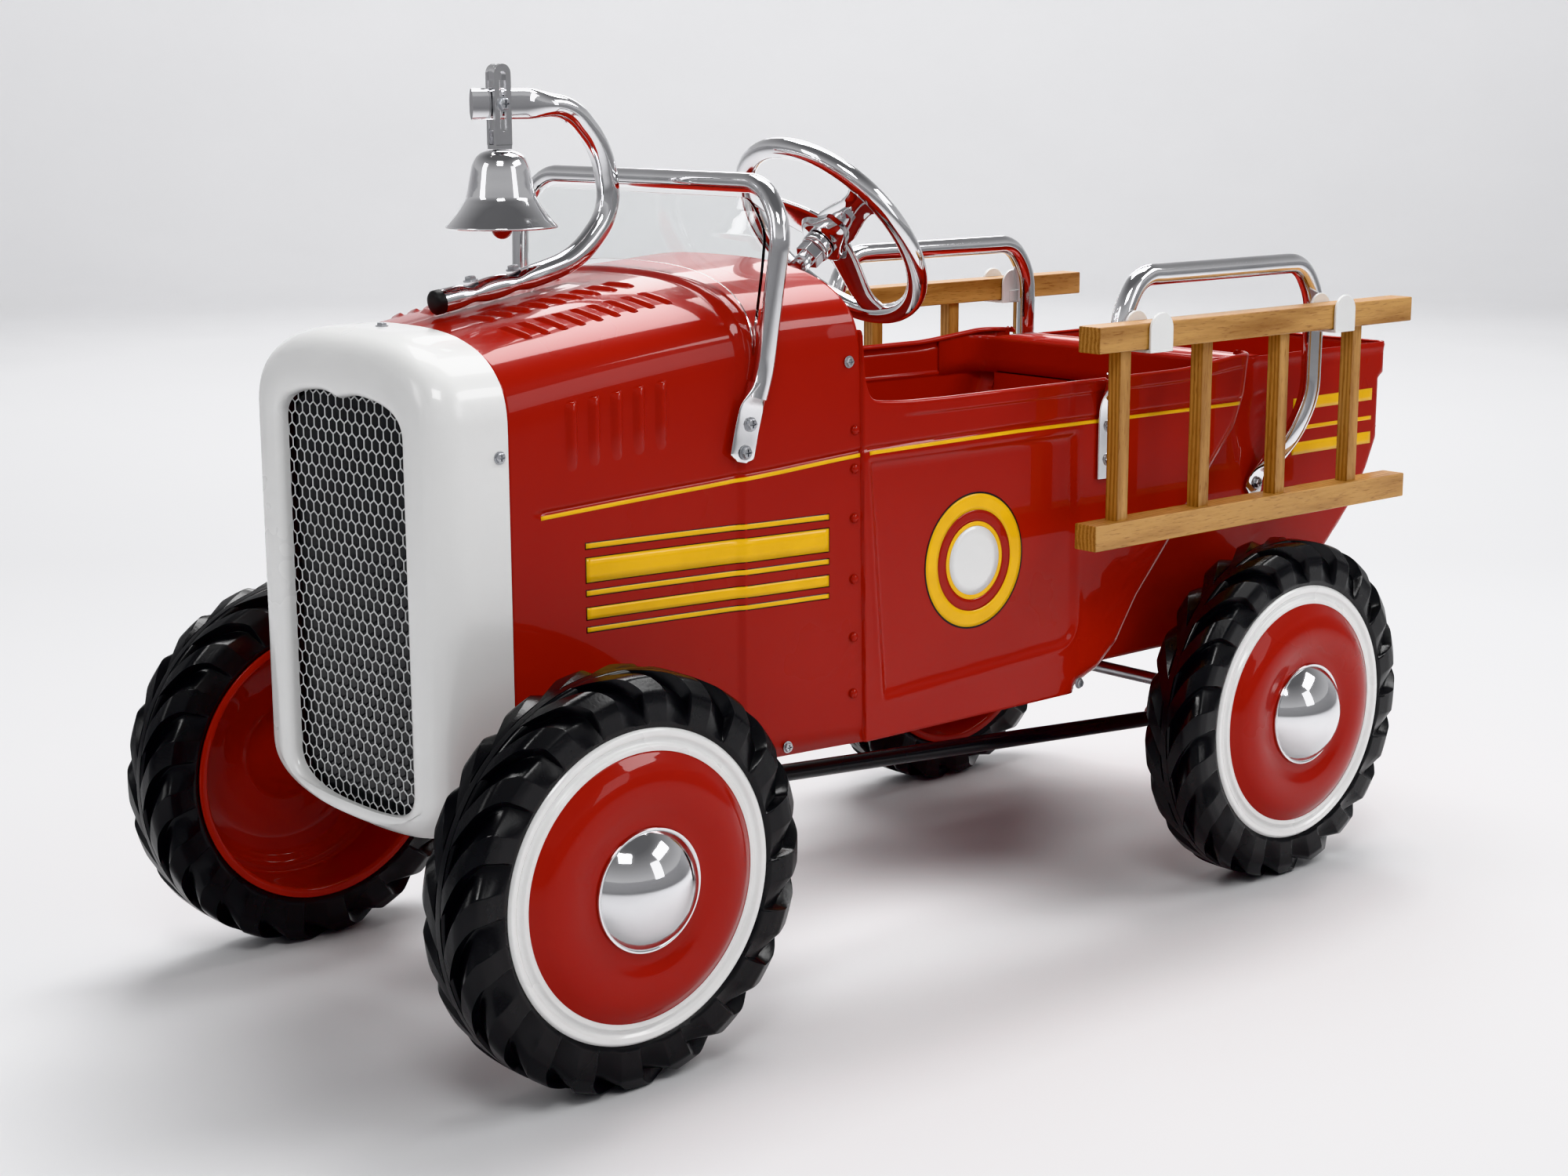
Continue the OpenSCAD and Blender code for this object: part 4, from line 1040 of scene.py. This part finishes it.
def steering_wheel():
    """Round ring, three spokes and a dished three-sided boss; a hexagonal collar, and the column's crank."""
    around, section = full_turn(160)[:, None], full_turn(28)[None]
    ring = outward(grid(spun(9 * np.sin(section), 94.3 + 9 * np.cos(section), around, "z"), True, True))
    phi = full_turn(96)[None]
    profile = np.array([(-14, 0.0), (-14, 19), (-11.5, 21.5), (-3, 24.5), (2.5, 24), (6.8, 19.5), (8, 15),
                        (8, 0)])
    level, radius = profile[:, :1], profile[:, 1:]
    lobes = 0.20 * np.cos(3 * (phi - math.pi / 2)) * np.clip((level + 14) / 8, 0, 1)
    boss = outward(grid(spun(level, radius * (1 + lobes), phi, "z"), wrap_cols=True))
    column_piece("steering_wheel_rim", [ring, *(spoke(angle) for angle in (90, 210, 330)), boss], CHROME,
                 ["steering_wheel"], sharp=40)
    six = full_turn(6)
    nut = plate(12.6 * np.stack([np.cos(six), np.sin(six)], -1), -35.5, -25, "z")
    sleeve = turned([(-25, 8.1), (-25, 13.2), (-22, 14), (-14.8, 14), (-14.8, 8.1)], (0, 0, 0), "z", 56)
    column_piece("clamp_collar", [nut, sleeve], CHROME, ["steering_nut"], bevel=0.8)
    shaft = turned([(-604, 0), (-604, 7), (-603, 8), (-9, 8), (-9, 0)], (0, 0, 0), "z", 48, closed=False)
    column_piece("column_shaft", [shaft], CHROME, ["steering_column"])
    arm = rounded([[-8.5, -8], [8.5, -8], [8.5, 62], [0, 68.5], [-8.5, 62], [-8.5, -8]], 5)[:-1]
    arm = plate(arm, -543.5, -538.5, "z")
    pin = turned([(-562, 0), (-562, 3.6), (-561.5, 4), (-541, 4), (-541, 0)], (0, 60, 0), "z", 32,
                 closed=False)
    column_piece("column_crank", [arm, pin], ZINC, bevel=0.5)


# ---------- Rails and ladders ----------
def grab_rail(name, s):
    """Bent tube with its front end pressed flat on the side panel and its back end flat on the bed."""
    path = rounded([[185.5, 593, 474], [188, 593, 500], [188, 594, 540], [188, 616, 573], [188, 846, 573],
                    [188, 869, 540], [188, 868, 445], [182, 853, 410], [164, 841, 380]], 26, 14)
    tube = swept(resampled(path, 120), [0.3, 1, 0.2], 9.5, sides=30)
    foot = curved([[186.5, 593, 486], [183, 593, 474], [177.6, 593, 462], [175.6, 593, 450],
                   [175.2, 593, 420], [175.2, 593, 393]], 6)
    f = np.linspace(0, 1, len(foot))
    wide = 9.4 + 2.4 * smooth(f / 0.4)
    thick = 9.2 - 7.3 * smooth(f / 0.36)
    front = swept(foot, [0, 1, 0], wide, thick, sides=28, power=3)
    heel = curved([[168, 844, 388], [161, 841, 380], [155.2, 837, 371], [152.2, 834, 361],
                   [152.1, 831, 348]], 6)
    f = np.linspace(0, 1, len(heel))
    wide = 9.2 + 2.8 * smooth(f / 0.5) - 5 * smooth((f - 0.85) / 0.15) ** 2
    thick = 9.0 - 7.2 * smooth(f / 0.55)
    back = swept(heel, [0, 1, 0.15], wide, thick, sides=28, power=2.8)
    piece("grab_rail_%s_tube" % name, [tube, front, back], CHROME, ["grab_rail_" + name], side=s, sharp=50)


LADDER_Y = 522.0
LADDER_LONG = 448.0
RAIL_X = 203.0
RAIL_WIDE = 25.0
RAIL_HIGH = 23.0
RAIL_Z = (341.0, 513.0)


def ladder(name, s):
    """Two long rails and four square rungs let into them, all with eased edges."""
    rails = [block((RAIL_X, LADDER_Y, z), (RAIL_X + RAIL_WIDE, LADDER_Y + LADDER_LONG, z + RAIL_HIGH))
             for z in RAIL_Z]
    rungs = [block((RAIL_X + 5.5, y, RAIL_Z[0] + RAIL_HIGH - 2), (RAIL_X + 19.5, y + 14, RAIL_Z[1] + 2))
             for y in (LADDER_Y + 33 + 110 * k for k in range(4))]
    body = name + "_ladder"
    piece("ladder_%s_rails" % name, rails, OAK_LONG, ["ladder_" + name], body=body, side=s, bevel=1.1)
    piece("ladder_%s_rungs" % name, rungs, OAK_TALL, body=body, side=s, bevel=0.9)


def saddles():
    """Folded saddles: a floor, two cheeks with round tops round the ladder, and a tab to the grab rail."""
    parts = []
    inner, outer = RAIL_X - 3.4, RAIL_X + RAIL_WIDE + 3.4
    for y in (599.0, 861.0):
        cheek = np.concatenate([[[y - 15, 512]], arc((y, 529.5), 15, 180, 0, 24), [[y + 15, 512]]])
        parts += [plate(cheek, x, x + 2.8) for x in (inner, outer - 2.8)]
        parts.append(block((inner, y - 15, 509.6), (outer, y + 15, 512.6)))
        parts.append(block((197.8, y - 6, 511), (inner + 0.2, y + 6, 523)))
    piece("ladder_saddles", both_sides(parts), WHITE, ["ladder_cradles"], bevel=0.9)


# ---------- Fasteners ----------
def screw_head(r, h):
    """Hex flange screw about local z: a washer, a six-sided wall and a low dome with a pressed cross."""
    turn = full_turn(72)
    flat = math.cos(np.pi / 6) / np.cos((turn + np.pi / 6) % (np.pi / 3) - np.pi / 6)
    rings = [(1, 0.0, 1), (1, 0.18, 1), (0.97, 0.25, 1), (0.82, 0.26, flat), (0.80, 0.8, flat),
             (0.74, 0.92, flat)]
    rows = [spun(h * z, r * q * shape, turn, "z") for q, z, shape in rings]
    for q in np.linspace(0.66, 0.02, 14):
        arms = [smooth((0.09 - np.abs(q * wave)) / 0.03) for wave in (np.cos(turn), np.sin(turn))]
        sunk = 0.42 * h * np.maximum(*arms) * smooth((0.5 - q) / 0.06)
        rows.append(spun(h * (0.94 + 0.06 * math.cos(q * 2)) - sunk, q * r, turn, "z"))
    rows.append(np.repeat(rows[-1].mean(0)[None], 72, 0))
    return outward(grid(np.stack([np.zeros_like(rows[0])] + rows), wrap_cols=True))


def set_on(part, at, normal):
    """The part with its local z turned to the normal and its origin moved to a point."""
    n = unit(np.array(normal, float))
    side = unit(np.cross([0, 1, 0.001] if abs(n[1]) < 0.9 else [1, 0, 0], n))
    return part[0] @ np.stack([side, np.cross(n, side), n]) + np.array(at, float), part[1]


def fasteners():
    """Screws at the places that the body is bolted, and domed rivets down the cowl's back flange."""
    small, large = screw_head(5, 3), screw_head(6, 4)
    spots = [(small, hood_half(226.0) + 0.1, 226, 207), (small, SIDE_X, 565, 208),
             (small, hood_half(286.0) + 0.1, 286, 520), (small, 134, -33, 470), (large, 159.6, 183.5, 455.1),
             (large, 159.8, 188.7, 477.2), (large, 154, 835, 360), (large, 177, 593, 410),
             (large, 177, 593, 440)]
    screws = [set_on(head, place, (1, 0, 0)) for head, *place in spots]
    screws = screws + [mirrored(screw) for screw in screws] + [set_on(small, (0, -47, 559), (0, 0, 1))]
    lean = 0.158
    screws += [set_on(large, (0, y, 589.0 + lean * (y - 36)), (0, -lean, 1)) for y in (36, 77)]
    piece("body_screws", screws, ZINC, ["body_bolts"], sharp=30)
    ends = [set_on(large, (x, 67, 726), (x, 0, 0)) for x in (6, -6)]
    piece("strap_bolt_heads", ends, ZINC, body="bell", sharp=30)
    a = np.linspace(0, np.pi / 2, 8)
    dome = np.stack([2.8 * np.sin(a), np.maximum(4 * np.cos(a), 0)], -1)
    dome = turned(dome, (0, 0, 0), "z", 28, closed=False)
    rivets = []
    for z in (243.0, 291.0, 340.0, 391.0, 432.0, 464.0):
        y = 291.5 + (z - 243) * 0.004
        rivets.append(set_on(dome, (hood_side(y, z) - 0.2, y, z), (1, 0, 0)))
    piece("cowl_rivets", rivets + [mirrored(rivet) for rivet in rivets], RED, ["rivets"], sharp=70)


# ---------- Painted trim ----------
def film(skin, y, z, proud=0.2):
    """Paint film a fifth of a millimetre proud of a skin, over grids of y and z."""
    return facing(grid(cells(skin(y, z) + proud, y, z)), (0, 400, 300))


def stripe(skin, y0, y1, base, low, high, proud=0.2):
    """Stripe between two heights above a base line, along the car."""
    y = np.linspace(y0, y1, max(2, int((y1 - y0) / 4)))[None]
    z = base(y) + np.linspace(low, high, 4)[:, None]
    return film(skin, y + 0 * z, z, proud)


def roundel(skin, centre, r0, r1):
    """Plain ring or disc on a skin, from radius r0 to r1."""
    turn = np.linspace(0, 2 * np.pi, 97)[None]
    r = np.linspace(r0, r1, 5)[:, None]
    return film(skin, centre[0] + r * np.cos(turn), centre[1] + r * np.sin(turn))


def level_base(y):
    """Base line at height 0."""
    return 0 * y


def paint_trim():
    """Belt line, plain bars on the hood, a plain roundel on the door and plain stripes on the bed."""
    gold = [stripe(hood_side, 3, 297, belt, -1.6, 1.6), stripe(side_skin, 305.5, 783, belt, -1.6, 1.6)]
    ink, white, red = [], [], []
    for low, high in ((392.5, 396.5), (366, 385), (355.5, 359.5), (337, 346), (327, 330.5)):
        gold.append(stripe(hood_side, 42, 267, level_base, low, high))
        ink.append(stripe(hood_side, 41.2, 267.8, level_base, low - 0.8, high + 0.8, 0.13))
    for films, r0, r1 in ((gold, 44, 58), (gold, 30, 34), (white, 0.0, 30), (red, 34, 44), (ink, 58, 59.6)):
        films.append(roundel(side_skin, (431.0, 338.0), r0, r1))
    for low, high in ((424, 436), (404, 408), (380, 392)):
        gold.append(stripe(bed_skin, 894, 1022, level_base, low, high))
    trims = {"gold_trim": (gold, GOLD), "black_trim": (ink, INK), "white_trim": (white, WHITE),
             "red_trim": (red, RED)}
    for name, (films, finish) in trims.items():
        piece(name, films + [mirrored(f) for f in films], finish, sharp=60, wall=0.12)


# ---------- Drive and CAD pieces that stay ----------
def push_rod(name):
    """Round bar with an eye at each end, sized from its CAD box."""
    low, high = (np.array(c) / MM - [0, FRONT_Y, 0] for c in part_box("push_rod_" + name))
    x = (low[0] + high[0]) / 2
    eye_r = 12
    front, rear = (x, low[1] + eye_r, high[2] - eye_r), (x, high[1] - eye_r, low[2] + eye_r)
    along = np.linspace(0, 1, 40)
    neck = 7.5 - 1.0 * smooth((0.04 - np.minimum(along, 1 - along)) / 0.04)
    parts = [swept(np.linspace(front, rear, 40)[1:-1], [1, 0, 0], neck[1:-1], sides=28)]
    for centre, bore in ((front, 5.5), (rear, 6.4)):
        eye = [(-7.5, bore), (-7.5, 11), (-6.7, eye_r), (6.7, eye_r), (7.5, 11), (7.5, bore)]
        parts.append(turned(eye, centre, count=48))
    piece("push_rod_%s_bar" % name, parts, BLACK, ["push_rod_" + name], body=name + "_push_rod", sharp=40)


def dress(finish, *nodes):
    """CAD nodes that stay in view take a finish."""
    for name in nodes:
        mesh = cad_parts[name].data
        mesh.materials.clear()
        mesh.materials.append(finish)


# ---------- Studio ----------
def studio():
    """Pale floor that curves up far away, and an even sky."""
    climb = np.linspace(0.1, np.pi / 2, 16)
    r = np.concatenate([[0.0], np.linspace(1, 6500, 20), 6500 + 2600 * np.sin(climb)])
    z = np.concatenate([np.zeros(21), 2600 * (1 - np.cos(climb))])
    turn = np.linspace(0, 2 * np.pi, 97)[None]
    points, faces = grid(spun(z[:, None], r[:, None], turn, "z"))
    paper = plain_finish("studio_paper", (0.80, 0.80, 0.81), (0.78, 0.78, 0.79), 0.6, 0.7, 1.5, 3.0, 0.0)
    mesh_object("studio_floor", points * MM, faces.tolist(), paper)

    world = bpy.data.worlds.new("studio_sky")
    bpy.context.scene.world = world
    world.use_nodes = True
    tree = world.node_tree
    way = add_node(tree, "SeparateXYZ", Vector=add_node(tree, "TexCoord").outputs["Generated"])
    rise = spread(tree, way.outputs["Z"], 0.3, 0.85)
    sky = blend(tree, rise, (0.56, 0.56, 0.57, 1), (0.18, 0.18, 0.185, 1))
    feed(tree, tree.nodes["Background"].inputs["Color"], sky)


def soft_boxes():
    """Rectangular lights, each with its place, aim, size and power."""
    for label, place, aim, size, power in (
            ("key_box", (1.7, -1.6, 2.7), (0, 0, 0.3), (1.0, 0.8), 24.0),
            ("top_box", (-0.7, 0.75, 2.9), (0, 0, 0.3), (2.2, 1.3), 80.0),
            ("backdrop_box", (-2.2, 1.9, 3.6), (-7.2, 6.3, 1.2), (4.0, 1.2), 260.0),
            ("side_box", (3.2, 0.7, 1.7), (0, 0.1, 0.35), (1.0, 1.5), 8.0),
            ("strip_box", (1.75, 1.55, 2.4), (0.1, 0, 0.35), (1.9, 0.7), 27.0),
            ("front_box", (-0.6, -3.2, 1.9), (0, -0.4, 0.35), (1.0, 1.5), 10.0),
            ("back_box", (-2.4, 2.2, 2.2), (0, 0.1, 0.4), (1.6, 1.0), 26.0)):
        light = bpy.data.lights.new(label, "AREA")
        light.shape = "RECTANGLE"
        light.size, light.size_y = size
        light.energy = power
        holder = bpy.data.objects.new(label, light)
        holder.location = place
        holder.rotation_euler = (Vector(aim) - Vector(place)).to_track_quat("-Z", "Y").to_euler()
        bpy.context.scene.collection.objects.link(holder)


def camera():
    """Camera ahead of the car's left front wheel, a little above the hood."""
    lens = bpy.data.cameras.new("studio_camera")
    lens.lens = 57.26
    lens.sensor_width = 36.0
    holder = bpy.data.objects.new("studio_camera", lens)
    right, ahead = Vector((0.65673, 0.75412, -0.00328)), Vector((-0.73922, 0.64289, -0.20063))
    up = right.cross(ahead)
    holder.matrix_world = Matrix(((right.x, up.x, -ahead.x, 1.65279), (right.y, up.y, -ahead.y, -1.51751),
                                  (right.z, up.z, -ahead.z, 0.74573), (0, 0, 0, 1)))
    bpy.context.scene.collection.objects.link(holder)
    bpy.context.scene.camera = holder
    bpy.context.scene.view_settings.view_transform = "Khronos PBR Neutral"


radiator_shell()
grille()
front_body()
hood_louvres()
side_louvres()
for name, side in SIDES.items():
    side_panel(name, side)
    grab_rail(name, side)
    ladder(name, side)
    push_rod(name)
bed_tub()
cockpit()
for place, (side, axle_y, body) in CORNERS.items():
    for make in (tyre, wheel, hubcap):
        make(place, side, (WHEEL_X, axle_y, AXLE_Z), body)
windshield()
bell_arm()
bell_strap()
bell()
steering_wheel()
saddles()
fasteners()
paint_trim()
dress(RED, "dash_panel")
dress(BLACK, "front_axle_bracket", "front_axle_beam", "tie_rod", "steering_bracket", "axle_hangers",
      "pedal_lever_left", "pedal_lever_right")
dress(ZINC, "kingpins", "knuckle_left", "knuckle_right", "pedal_pivot_rod", "rear_axle")
dress(NYLON, "column_bush")
dress(BRONZE, "axle_bushes")
dress(PAD_RUBBER, "pedal_pad_left", "pedal_pad_right")
studio()
soft_boxes()
camera()
